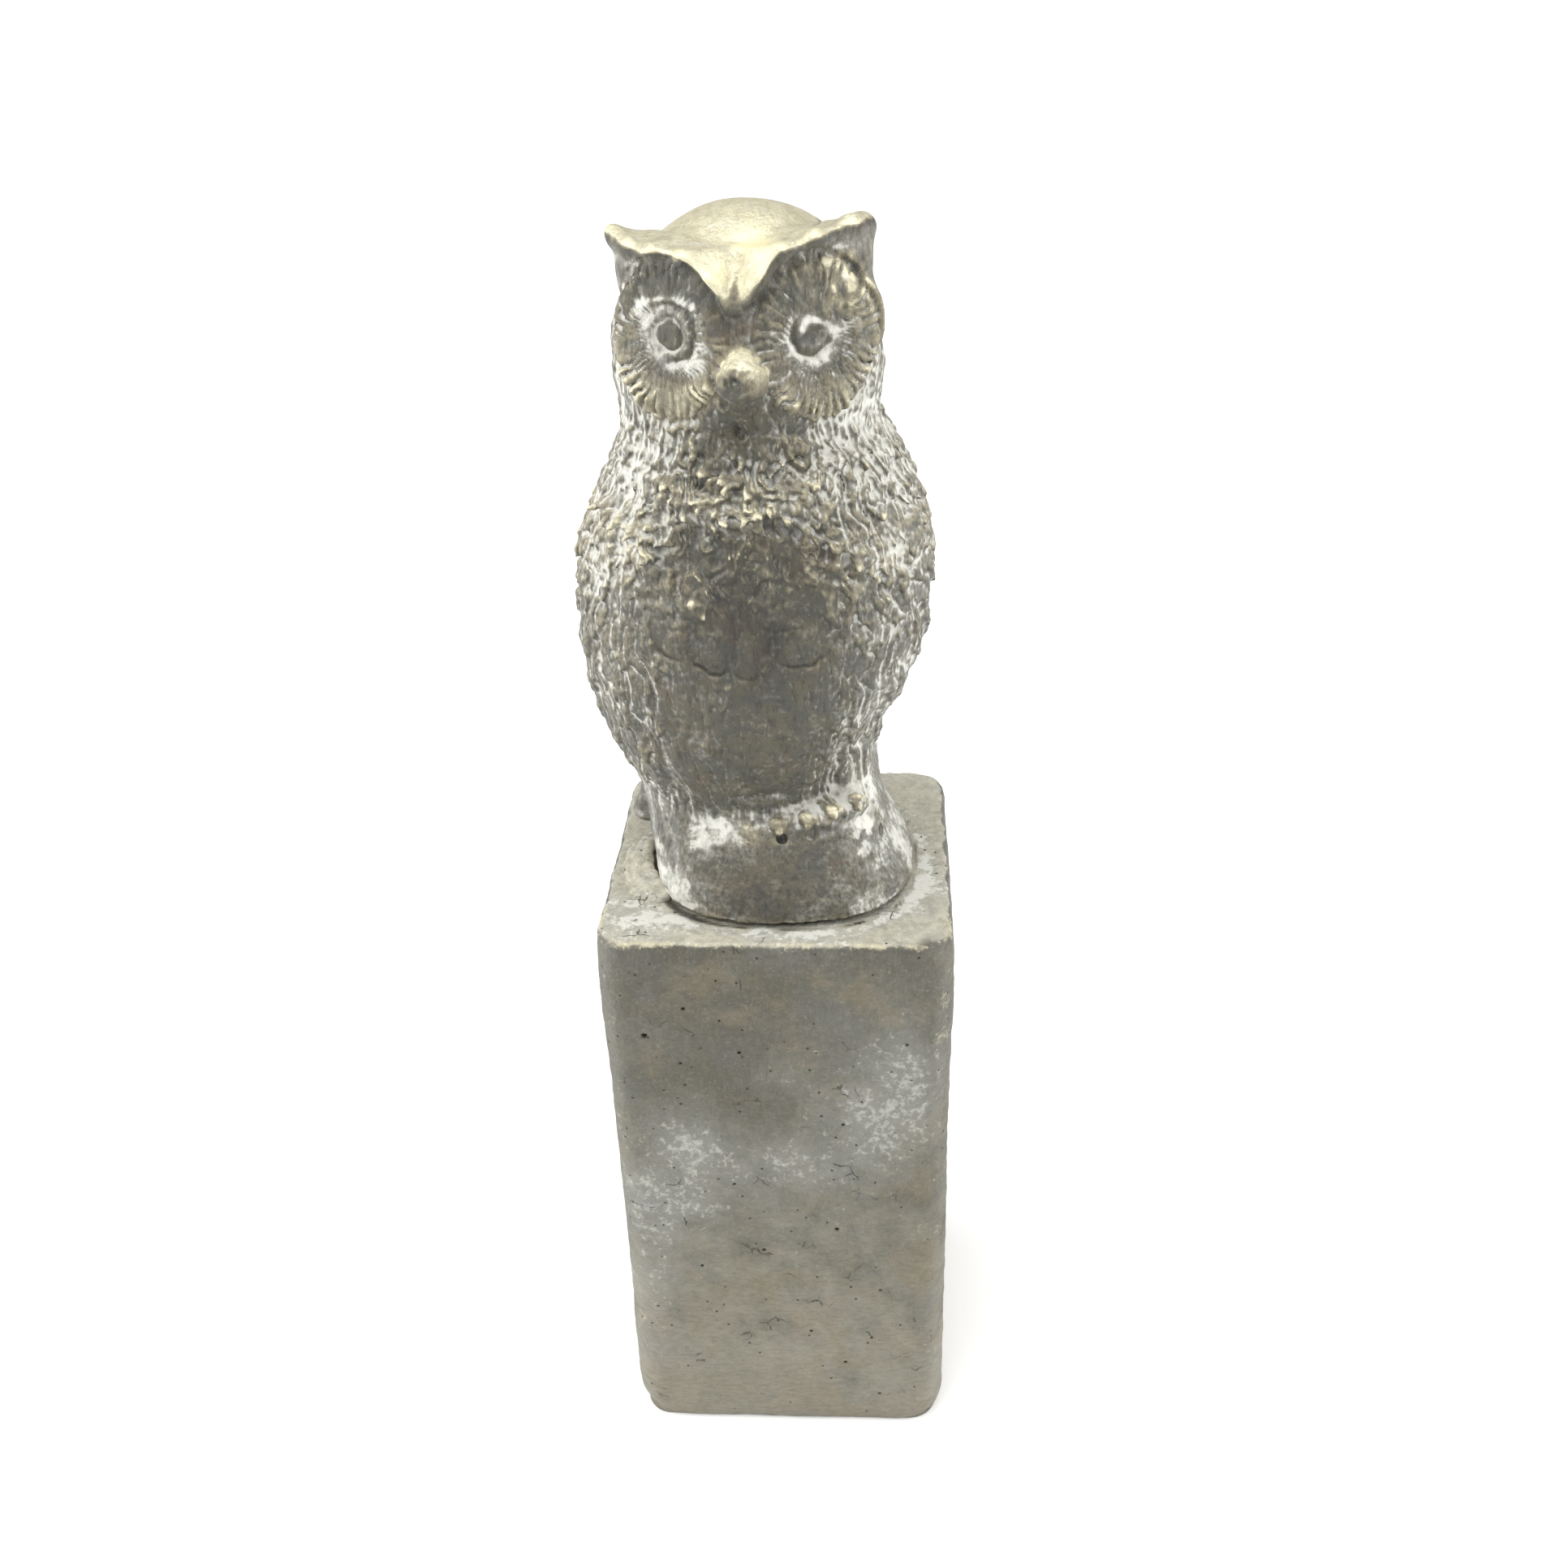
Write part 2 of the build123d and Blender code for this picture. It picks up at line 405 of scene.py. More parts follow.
def add_beak(clay):
    """A pear-shaped beak with a chipped tip, over a small chin and a deep hollow."""
    middle = np.array((FACE_X + 0.5, -25.8, CROWN - 26.4))
    clay.join(limb((FACE_X + 0.3, -22.6, CROWN - 22.6), middle, 2.9, 4.4), 0.8)
    clay.join(egg(middle - (0, -0.2, 0.5), (4.9, 5.1, 3.9)), 0.8)
    side = unit(np.cross((0, 0, 1), CHIP_FACING))
    axes = (side, np.cross(CHIP_FACING, side), CHIP_FACING)
    clay.cut(plug(CHIP + (0.2, 0, -0.5), 1.9, axes, 0.75), 0.3)
    clay.cut(plug(CHIP + (-1.0, 0.3, 0.5), 1.3, axes, 1.3), 0.3)
    clay.join(limb((FACE_X - 0.2, -19.6, CROWN - 30.0), (FACE_X - 0.6, -20.8, CROWN - 36.0), 3.0, 2.4), 2.0)
    clay.cut(egg((FACE_X - 1.0, -24.6, CROWN - 37.8), (4.6, 3.2, 1.9)), 1.5)


def body_front(x, z):
    """How far forward the body reaches at a place seen from the front."""
    rows = np.array(BODY_SECTIONS, float)
    left, right, front, back = (np.interp(z - DECK, rows[:, 0], side) for side in rows[:, 1:].T)
    u = min(abs(x - (left + right) / 2) / ((right - left) / 2), 0.98)
    reach = (back - front) / 2
    return (front + back) / 2 - reach * (1 - u**BODY_SQUARENESS) ** (1 / BODY_SQUARENESS)


RIDGES = [  # lines across the body where the plumage stands out: across, up, and their radius
    ([(-17.5, 236.5), (-13.8, 234.0), (-7.0, 232.2), (-1.8, 231.4), (4.0, 233.4), (9.5, 237.0),
      (14.0, 240.5)], 2.0),
    ([(-30.5, 230.4), (-27.4, 228.6), (-22.6, 222.6), (-15.1, 214.8)], 1.7),
    ([(14.0, 226.5), (19.0, 222.0), (25.5, 216.6)], 1.4),
]
SCALLOPS = [  # the lower edge of each broad chest feather: across, up, half width, depth of cut
    (-17.0, 203.8, 3.4, 0.9), (-9.4, 201.6, 4.2, 1.0), (-2.6, 200.6, 2.8, 0.5), (6.4, 202.6, 4.8, 0.9),
    (-12.4, 212.2, 3.8, 0.3), (3.2, 210.4, 4.4, 0.35), (12.4, 211.2, 3.4, 0.3), (-5.0, 191.4, 4.6, 0.25),
]


def add_body(clay):
    """The body with its collar and chest feathers, the folded wings' tips and the tail."""
    clay.join(column([(DECK + h, *reach) for h, *reach in BODY_SECTIONS], BODY_SQUARENESS), 4.0)
    for line, radius in RIDGES:
        places = [(x, body_front(x, z) + radius * 0.35, z) for x, z in line]
        clay.join_line(places, radius, 1.8)
    for x, z, half, _ in SCALLOPS:
        y = body_front(x, z + 4)
        lean = math.atan2(body_front(x, z) - body_front(x, z + 6), 6.0)
        turn = math.atan2(x + 3.5, 34.0)
        up = np.array((0, -math.sin(lean), math.cos(lean)))
        level = np.array((math.sin(turn), -math.cos(turn), 0))
        out = unit(level - up * (up @ level))
        clay.join(egg((x, y + 1.15, z + 5.2), (half, 5.4, 1.9), (np.cross(up, out), up, out)), 0.5)
    add_wing_tips(clay)
    for share in np.linspace(-1, 1, 5):
        top = (FACE_X - 1 + share * 12, 21 - 3 * share * share, DECK + 46)
        bottom = (FACE_X - 2 + share * 10, 27 - 2 * share * share, DECK + 6)
        clay.join(limb(top, bottom, 4.0, 2.6), 1.2)


def add_wing_tips(clay):
    """The folded wings' tips, which hang behind the socle on the left and the right."""
    clay.join(limb((-27.0, 0.6, DECK + 26), (-28.8, 2.4, DECK + 16), 2.6, 2.2), 1.5)
    clay.join(limb((-28.6, 2.4, DECK + 17), (-30.7, 4.4, DECK + 8.8), 2.0, 2.9), 1.0)
    clay.join(limb((-25.0, 7.0, DECK + 26), (-28.6, 9.4, DECK + 7.6), 4.0, 2.2), 1.0)
    clay.cut(egg((-28.9, 1.0, DECK + 12.0), (0.8, 3.0, 1.4)), 0.3)
    clay.join(limb((17.0, 6.0, DECK + 36), (18.4, 13.0, DECK + 17), 5.0, 2.6), 2.0)
    clay.join(limb((18.4, 13.0, DECK + 17), (18.6, 15.0, DECK + 11), 2.6, 1.8), 1.5)


def add_socle(clay):
    """The round rock under the feet."""
    sections = [
        (UNDERSIDE, -27.2, 29.8, -31.4, 26.4),
        (UNDERSIDE + 2, -27.4, 29.0, -31.4, 26.2),
        (UNDERSIDE + 6, -27.2, 26.6, -30.0, 25.4),
        (UNDERSIDE + 11, -27.0, 24.0, -27.6, 24.2),
        (UNDERSIDE + 16, -26.6, 22.6, -24.6, 23.0),
        (UNDERSIDE + 19, -25.6, 21.4, -21.4, 21.0),
        (UNDERSIDE + 23, -22.0, 18.0, -17.0, 18.0),
    ]
    clay.join(column(sections, 2.6), 4.0)
    clay.join(limb((-26.0, -3.5, DECK + 34), (-24.0, -4.5, DECK + 10), 5.4, 3.4), 5.0)
    clay.join(limb((-21.0, -12.0, DECK + 31), (-20.6, -12.5, DECK + 12), 5.4, 4.0), 5.0)
    clay.join(limb((14.5, -10.0, DECK + 32), (17.5, -12.0, DECK + 14), 5.0, 3.4), 4.0)
    clay.join_line([np.add(place, (0, 0, DECK)) for place in LEDGE], 2.8, 2.0)
    clay.cut(egg((0.0, -23.4, DECK + 26.4), (9.5, 2.0, 1.7)), 1.2)
    for place, reach in HOLLOWS:
        clay.cut(egg(np.add(place, (0, 0, DECK)), reach), 0.5)


LEDGE = [  # under the toes: across, forward and above the deck
    (-16.0, -16.6, 17.0), (-8.0, -19.0, 17.6), (2.0, -20.4, 19.2), (10.0, -19.6, 20.8), (17.0, -16.0, 22.2),
]
HOLLOWS = [  # hollows on the right of the toes: across, forward and above the deck, and their reach
    ((20.6, -14.0, 19.0), (1.1, 1.8, 2.2)), ((22.0, -13.0, 13.0), (0.9, 1.6, 1.7)),
    ((18.4, -18.4, 18.4), (0.9, 1.5, 1.5)), ((15.0, -21.4, 18.6), (0.8, 1.5, 1.7)),
    ((22.4, -10.0, 20.8), (0.9, 1.6, 1.4)),
]
TOES = [  # each toe's knuckle: across, forward and above the deck
    (-11.4, -20.4, 17.4), (-5.2, -22.2, 19.0), (1.4, -23.0, 21.0), (7.2, -22.8, 22.0),
    (12.8, -21.4, 23.3), (17.4, -18.8, 24.4),
]


def add_feet(clay):
    """Toes along the socle's rim, with claws that hook over it into small hollows."""
    rng = np.random.default_rng(17)
    for x, y, rise in TOES:
        knuckle = np.array((x, y, DECK + rise)) + rng.uniform(-0.3, 0.3, 3)
        lean = rng.uniform(-0.5, 0.5)
        back = knuckle + ((2.0 - x) * 0.2, 4.0, 0.2)
        tip = knuckle + (0.7 * lean, -0.8, rng.uniform(-1.5, -0.6))
        clay.cut(egg(knuckle + (0.6 + lean, -0.5, -3.4), (1.1, 1.0, rng.uniform(1.0, 1.9))), 0.8)
        fold = np.array((1.0, 0.1, rng.uniform(-0.4, 0.5)))
        clay.join(limb(back, knuckle, 1.1, 1.2), 1.4)
        clay.join(limb(knuckle - 1.0 * fold, knuckle + rng.uniform(0.7, 1.2) * fold, 1.35, 1.05), 0.5)
        clay.join(limb(knuckle, tip, 1.35, 0.9), 0.3)
        for across in (-0.5, 0.6):
            groove = knuckle + (across, -1.5, 0.8)
            clay.cut(limb(groove, groove + (0.5, -0.1, -2.6), 0.28, 0.22), 0.2)


TUFT_TRIES = 90000  # vertices that are tried as places for a lock of feathers


def add_tufts(clay):
    """Locks of feathers over the neck, the shoulders and the flanks, each over the ones below."""
    data = clay.mesh("bare_owl")
    points, facing = coordinates(data), normals(data)
    bpy.data.meshes.remove(data)
    rng = np.random.default_rng(8)
    size, half, lift, turn, wanted = tuft_plan(points)
    along, across = tangent_frame(facing, turn)
    picked = scatter(points, along, across, size, half, wanted, TUFT_TRIES, rng)
    for index in sorted(picked, key=lambda k: points[k, 2]):
        length, reach = size[index] * rng.uniform(0.7, 1.3), half[index] * rng.uniform(0.7, 1.3)
        rise, tilt = lift[index] * rng.uniform(0.6, 1.4), rng.uniform(-0.45, 0.45)
        out, down, aside = facing[index], along[index], across[index]
        root = points[index] - out * 0.7 - down * length * 0.5
        left = points[index] + aside * reach + out * (0.25 + tilt) * rise
        right = points[index] - aside * reach + out * (0.25 - tilt) * rise
        tip = points[index] + out * rise + down * length * 0.5 + aside * rng.uniform(-0.6, 0.6) * reach
        clay.join(plate(root, left, right, 0.5), 0.8)
        clay.join(plate(left, right, tip, rng.uniform(0.3, 0.6)), 0.8)


def tuft_plan(points):
    """The length, half width, lift, turn and chance of a lock of feathers at each point."""
    rise = points[:, 2] - DECK
    angle = body_angle(points)
    size = np.abs(angle)
    on_face = np.maximum(*(disc_relief(points, side)[1] for side in (-1, 1)))
    skull = smooth_step(101, 104, rise - 14.0 * smooth_step(2.0, 2.4, size))
    ruff = smooth_step(86, 92, rise)
    shoulder = smooth_step(68, 76, rise) * (1 - ruff)
    front = 1 - smooth_step(0.40, 0.75, size)
    back = smooth_step(1.7, 2.2, size)
    below = (1 - ruff) * (1 - shoulder)
    foot = 1 - smooth_step(24, 30, rise)
    high = smooth_step(40, 55, rise)
    kinds = [  # length, half width, lift, wander of the direction, chance
        (ruff * (1 - front), (6.0, 1.1, 0.6, 0.6, 0.02)),
        (ruff * front, (4.2, 1.1, 1.0, 1.3, 0.12)),
        (shoulder * (1 - front), (5.5, 1.2, 0.8, 0.8, 0.05)),
        (shoulder * front, (4.5, 1.1, 0.8, 0.7, 0.008)),
        (below * front, (4.0, 1.1, 0.4, 0.5, 0.002)),
        (below * back, (9.0, 2.4, 0.55, 0.15, 1.0)),
        (below * (1 - front) * (1 - back) * high, (7.0, 1.0, 0.35, 0.35, 0.008)),
        (below * (1 - front) * (1 - back) * (1 - high), (7.0, 1.0, 0.25, 0.35, 0.004)),
    ]
    plan = sum(np.outer(share, values) for share, values in kinds)
    wander = value_noise(points, 6.0, 3) + 0.7 * value_noise(points, 2.4, 4)
    turn = plan[:, 3] * wander + 0.22 * np.sin(angle) * (1 - ruff)
    chance = plan[:, 4] * (1 - skull) * (1 - foot) * (1 - on_face)
    return plan[:, 0], plan[:, 1], plan[:, 2], turn, chance


def owl_mesh():
    """The owl's shape with its larger locks of feathers."""
    margin = 6.0
    clay = Clay(OWL_LOW - margin, OWL_HIGH + margin, OWL_PITCH)
    add_body(clay)
    add_head(clay)
    add_socle(clay)
    add_feet(clay)
    add_tufts(clay)
    clay.field = np.maximum(clay.field, UNDERSIDE - clay.axes[2][None, None, :])
    return clay.mesh("owl_casting")


# ---------------------------------------------------------------- mesh helpers


def coordinates(data):
    """A mesh's vertices as rows."""
    points = np.empty(len(data.vertices) * 3, np.float32)
    data.vertices.foreach_get("co", points)
    return points.reshape(-1, 3).astype(float)


def normals(data):
    """A mesh's vertex normals as rows."""
    rows = np.empty(len(data.vertices) * 3, np.float32)
    data.vertex_normals.foreach_get("vector", rows)
    return rows.reshape(-1, 3).astype(float)


def place_vertices(data, points):
    """Move a mesh's vertices."""
    data.vertices.foreach_set("co", points.astype(np.float32).ravel())
    data.update()


def paint_layer(data, name, values):
    """Store a number for each vertex, for a material to read."""
    layer = data.attributes.new(name, "FLOAT", "POINT")
    layer.data.foreach_set("value", np.asarray(values, np.float32))


class Links:
    """Which vertices an edge joins, for averaging over neighbours."""

    def __init__(self, data):
        ends = np.empty(len(data.edges) * 2, np.int32)
        data.edges.foreach_get("vertices", ends)
        self.start, self.end = ends.reshape(-1, 2).T
        self.size = len(data.vertices)
        self.count = np.maximum(np.bincount(ends, minlength=self.size), 1)

    def spread(self, values, times=1):
        """Each value moved halfway to its neighbours' average, a number of times."""
        columns = np.array(values, float).reshape(self.size, -1).T.copy()
        for _ in range(times):
            for k, column_values in enumerate(columns):
                total = np.bincount(self.start, column_values[self.end], self.size)
                total += np.bincount(self.end, column_values[self.start], self.size)
                columns[k] = (column_values + total / self.count) / 2
        return columns.T.reshape(np.shape(values))

    def hollow(self, points, facing, times):
        """How far each vertex lies below its neighbourhood, in millimetres."""
        return ((self.spread(points, times) - points) * facing).sum(axis=1)


# ---------------------------------------------------------------- plumage


def bump(distance, width):
    """A round bump, 1 high at no distance."""
    return np.exp(-((distance / width) ** 2))


def spot(across, up, reach_across, reach_up):
    """A round patch, 1 in its middle, that fades over its reach across and up."""
    return bump(np.hypot(across / reach_across, up / reach_up), 1.0)


def tangent_frame(facing, turn):
    """Unit directions down the surface, turned by an angle, and across it."""
    down = np.array((0, 0, -1.0)) + facing * facing[:, 2:3]
    down = unit(down + (0, 1e-4, 0))
    across = np.cross(facing, down)
    along = unit(down * np.cos(turn)[:, None] + across * np.sin(turn)[:, None])
    return along, np.cross(facing, along)


def body_angle(points):
    """The way round the body from its front, in radians, positive to the right."""
    middle = (OWL_LOW[0] + OWL_HIGH[0]) / 2
    return np.arctan2(points[:, 0] - middle, -points[:, 1])


def plumage(points):
    """The height of feather strokes that run down the body, and how much of a point is groove."""
    warp = 1.7 * value_noise(points, 9.0, 120) + 0.7 * value_noise(points, 3.2, 121)
    angle = body_angle(points) + warp / 28
    place = np.column_stack((28 * np.sin(angle), -28 * np.cos(angle), 0.23 * points[:, 2]))
    strands, barbs = np.abs(value_noise(place, 2.3, 122)), np.abs(value_noise(place * (1, 1, 1.3), 1.2, 123))
    groove = np.maximum(bump(strands, 0.09), 0.7 * bump(barbs, 0.08))
    return 0.9 * np.sqrt(strands) + 0.45 * np.sqrt(barbs) - 0.8, groove


def ragged_locks(points):
    """The height of tangled locks with sharp tops."""
    warp = np.column_stack([value_noise(points, 4.0, seed) for seed in (130, 131, 132)])
    place = (points + 3.0 * warp) * (1, 1, 0.40)
    tops = 1 - np.abs(value_noise(place, 2.7, 133)) - 0.45 * np.abs(value_noise(place, 1.3, 134))
    return 1.3 * np.clip(tops, 0, 1) ** 1.5 - 0.6


def scatter(points, along, across, length, width, chance, wanted, rng):
    """Places for feathers, picked so that none crowds another: the numbers of their vertices."""
    cell = 7.0  # of the grid in which rivals are looked for, as wide as the longest reach
    taken, picked = {}, []
    for index in rng.permutation(len(points))[:wanted]:
        if rng.random() > chance[index]:
            continue
        place = points[index]
        key = tuple((place // cell).astype(int))
        rivals = [rival for step in itertools.product((-1, 0, 1), repeat=3)
                  for rival in taken.get(tuple(k + s for k, s in zip(key, step)), ())]
        if rivals:
            gaps = points[rivals] - place
            far = (gaps @ along[index] / (0.42 * length[index])) ** 2
            far += (gaps @ across[index] / (1.35 * width[index])) ** 2
            if far.min() < 1:
                continue
        taken.setdefault(key, []).append(index)
        picked.append(index)
    return picked


# ---------------------------------------------------------------- the face's relief

QUILLS = 37  # feather rays round a facial disc
FINE_QUILLS = 30  # pairs of finer hairs round it, nearer the eye


def disc_wander(points, side):
    """The waviness that a facial disc's rays and rings share."""
    return value_noise(points, 3.4, 20 + side) + 0.3 * value_noise(points, 1.3, 22 + side)


def disc_place(points, side):
    """Where points lie on a facial disc: across, up and out of it, and their radius and angle."""
    gap = points - disc_centre(side)
    u, v, w = (gap @ axis for axis in face_frame(side))
    return u, v, w, np.hypot(u * DISC_NARROW, v), np.arctan2(v, u * DISC_NARROW)


def disc_relief(points, side):
    """The height of a disc's rays and of the eye's rings, and how much of a point is disc."""
    u, v, w, radius, angle = disc_place(points, side)
    on_disc = (1 - smooth_step(DISC_RADIUS + 0.5, DISC_RADIUS + 1.2, radius)) * smooth_step(-5.5, -4, w)
    on_disc *= 1 - smooth_step(1.2, 2.2, w)
    wander = disc_wander(points, side)
    ray = angle * QUILLS / (2 * math.pi) + 0.06 * radius + 0.6 * wander
    comb = np.abs(np.sin(math.pi * ray)) ** 0.6
    strength = np.clip(0.8 + 1.0 * value_noise(points, 3.6, 30 + side), 0.1, 1.5)
    strength *= (1 - 0.55 * smooth_step(0.0, 7.0, v)) * (1 - 0.5 * smooth_step(3.0, 9.0, -side * u))
    height = smooth_step(9.0, 12.0, radius + 1.5 * wander) * strength * 1.15 * (comb - 0.6)
    hair = np.abs(np.sin(math.pi * (angle * FINE_QUILLS / math.pi + 0.12 * radius + 1.1 * wander)))
    height += 0.35 * strength * bump(radius - 8.5, 3.0) * (hair - 0.6)
    height += 0.4 * smooth_step(5, 9, radius) * wander + 0.30 * cloud(points * (1, 1, 0.6), 1.5, 26)
    ragged_rim = radius + 1.8 * (0.7 - comb) * strength
    height -= 1.1 * smooth_step(DISC_RADIUS - 2.4, DISC_RADIUS + 0.2, ragged_rim)
    return (height + eye_rings(u, v, side, wander)) * on_disc, on_disc


def eye_place(u, v, side):
    """How far from the eye's middle a point of the disc lies, and its angle round it."""
    u, v = u - EYES[side][0], v - EYES[side][1]
    narrow, low = EYE_SHAPE[side]
    return np.hypot(u * narrow, v * low), np.arctan2(v, u)


def arc(gap, angle, radius, width, heading, spread):
    """1 along an arc round the eye, fading to 0 away from it."""
    away = np.abs((angle - math.radians(heading) + math.pi) % (2 * math.pi) - math.pi)
    return bump(gap - radius, width) * (1 - smooth_step(0.7, 1.3, away / math.radians(spread)))


def eye_rings(u, v, side, wander):
    """The height of an eye's pupil and rings."""
    gap, angle = eye_place(u, v, side)
    gap = gap + 0.8 * wander
    if side < 0:
        rings = 0.45 * (1 - smooth_step(1.6, 2.8, gap)) + 0.40 * bump(gap - 3.7, 0.9)
        rings -= 0.6 * arc(gap, angle, 4.7, 0.6, 5, 85) + 0.25 * bump(gap - 2.8, 0.4)
        rings += 0.6 * arc(gap, angle, 5.4, 0.8, 110, 60) + 0.4 * arc(gap, angle, 6.0, 0.8, -60, 35)
    else:
        rings = 0.35 * arc(gap, angle, 1.6, 0.8, 100, 80) + 0.45 * arc(gap, angle, 3.0, 0.6, 250, 110)
        rings -= 0.45 * arc(gap, angle, 3.9, 0.4, 230, 90) + 0.35 * bump(gap, 0.9)
        rings += 0.55 * arc(gap, angle, 4.8, 0.6, 225, 80) + 0.3 * arc(gap, angle, 4.2, 0.8, 20, 60)
    return rings * (1 - smooth_step(7.0, 8.2, gap))


def eye_wash(u, v, side, wander):
    """How much whitewash lies round an eye."""
    gap, angle = eye_place(u, v, side)
    gap = gap + 0.8 * wander
    if side < 0:
        wash = 0.65 * bump(gap - 3.8, 1.1) + 0.75 * arc(gap, angle, 5.6, 0.8, 105, 55)
        wash += 0.8 * arc(gap, angle, 5.8, 0.9, -60, 35) + 0.50 * arc(gap, angle, 6.5, 1.2, 5, 60)
        wash -= 0.8 * arc(gap, angle, 4.6, 0.5, 5, 85) + 0.6 * (1 - smooth_step(1.9, 2.8, gap))
    else:
        wash = 1.1 * arc(gap, angle, 4.7, 0.7, 225, 85) + 0.9 * arc(gap, angle, 2.0, 0.8, 110, 70)
        wash += 0.60 * arc(gap, angle, 3.6, 0.9, -15, 50) + 0.25 * arc(gap, angle, 3.0, 0.6, 240, 70)
        wash += 0.45 * spot(u - 6.0, v - 1.2, 2.8, 1.0)
        wash -= 0.5 * bump(gap, 0.8) + 0.5 * arc(gap, angle, 3.9, 0.35, 225, 80)
    return wash


def scallop_creases(points):
    """1 along the creases under the broad chest feathers."""
    crease = np.zeros(len(points))
    front = points[:, 1] < -14
    wander = 0.5 * value_noise(points, 2.5, 50) + 0.3 * value_noise(points, 1.0, 51)
    for x, z, half, cut in SCALLOPS:
        u, v = points[:, 0] - x, points[:, 2] - (z + half * 1.3)
        gap, angle = np.hypot(u, v) + wander, np.arctan2(v, u)
        crease = np.maximum(crease, cut * arc(gap, angle, half * 1.3, 0.42, -90 + 2 * x, 42) * front)
    return crease


def sculpt_owl(data):
    """Give the owl its finer relief, and store what its paint needs."""
    links = Links(data)
    points = coordinates(data)
    x, y, z = points.T
    facing = unit(links.spread(normals(data), 3))
    rise = z - DECK
    turn = body_angle(points)
    angle = np.abs(turn)
    (left, on_left), (right, on_right) = (disc_relief(points, side) for side in (-1, 1))
    on_disc = np.maximum(on_left, on_right)
    forehead = smooth_step(-2, 3, z - (CROWN - 15) - 0.55 * y)
    beak = bump(np.linalg.norm((points - (FACE_X, -27, CROWN - 25)) / (1, 1, 1.3), axis=1), 6.5)
    beak *= smooth_step(-24.0, -25.5, y)
    by_beak = spot(x - FACE_X - 0.4, z - (CROWN - 25.0), 5.4, 7.0)
    socle = 1 - smooth_step(19, 24, rise)
    nape = 9.0 * smooth_step(4, 14, y)  # behind, the plumage reaches further up the head
    rough = np.clip(1 - on_disc - forehead - 1.6 * beak, 0, 1) * smooth_step(CROWN - 12, CROWN - 20, z - nape)
    strands, groove = plumage(points)
    strokes = 0.35 + 0.50 * smooth_step(0.30, 0.8, angle) + 0.40 * smooth_step(72, 88, rise)
    strokes = rough * (1 - 0.8 * socle) * strokes
    tangle = rough * (1 - socle) * bump(x + 4, 26)
    tangle = tangle * smooth_step(64, 84, rise + 9 * np.abs(np.sin(turn)))
    height = (left + right) * (1 - by_beak) - 0.5 * scallop_creases(points)
    height += strokes * (1 - 0.5 * tangle) * strands + tangle * ragged_locks(points)
    height += rough * (0.30 * cloud(points, 2.0, 40) + 0.12 * cloud(points, 0.9, 42)) * (1 - 0.4 * socle)
    height += 0.22 * cloud(points, 9.0, 44) + 0.05 * cloud(points, 1.1, 46)
    height += 0.5 * smooth_step(UNDERSIDE + 3, UNDERSIDE, z) * cloud(points, 2.6, 47)
    height -= 0.9 * chipped(points) * np.abs(value_noise(points, 1.5, 48))
    points = points + facing * height[:, None]
    place_vertices(data, points)
    facing = normals(data)
    fine, wide = links.hollow(points, facing, 5), links.hollow(points, facing, 45)
    store_owl_paint(data, points, facing, fine, wide, on_disc, beak, socle, angle, groove * strokes)


def chipped(points):
    """1 where the beak's tip is broken off, fading round it."""
    return bump(np.linalg.norm(points - CHIP, axis=1), 2.4)


PAINTED_HIGHLIGHTS = [  # painted highlights, spots where the gold is made brightest: across, up, and reach across and up
    (-1.0, CROWN - 4.8, 3.4, 2.0), (-7.4, CROWN - 8.8, 3.0, 1.8), (2.0, CROWN - 8.0, 1.3, 2.2),
]


def disc_marks(points, on_disc):
    """What the paint needs of the two facial discs, vertex by vertex.

    These are the whitewash round the eyes, the gold low on the discs, the streaks along the rays,
    the powder on the inner sides, and the distance from the nearer disc's middle.
    """
    eyes, low, streaks, inner, eye_gap = 0.0, 0.0, 0.0, 0.0, np.full(len(points), FAR)
    for side in (-1, 1):
        u, v, _, radius, heading = disc_place(points, side)
        reach = np.hypot(u, v)
        near = on_disc * (reach < DISC_RADIUS + 1)
        eyes = eyes + eye_wash(u, v, side, disc_wander(points, side)) * near
        eye_gap = np.minimum(eye_gap, np.linalg.norm(points - disc_centre(side), axis=1))
        polar = np.column_stack((12 * np.cos(heading), 12 * np.sin(heading), 0.28 * radius))
        streaks = streaks + near * value_noise(polar, 0.9, 68 + side) * smooth_step(5.0, 7.5, radius)
        inner = inner + near * bump(radius - 8.0, 3.5) * smooth_step(-1.0, 5.0, -side * u)
        share = 1.8 if side < 0 else 1.0
        low = low + share * smooth_step(1.0, -8.0, v) * smooth_step(6.0, 10.0, reach) * near
    return eyes, low, streaks, inner, eye_gap


def socle_crust(points, front):
    """The thick whitewash on the toes and on the socle's right shoulder."""
    x, rise = points[:, 0], points[:, 2] - DECK
    crust = spot(x + 8, rise - 19.5, 9, 2.6) + 1.1 * spot(x - 20, rise - 19, 4.5, 7)
    crust += 1.1 * spot(x - 9, rise - 22.5 - 0.2 * (x - 9), 9, 2.2)
    return crust * front * (0.5 + 0.9 * smooth_step(-0.05, 0.20, cloud(points, 2.4, 110)))


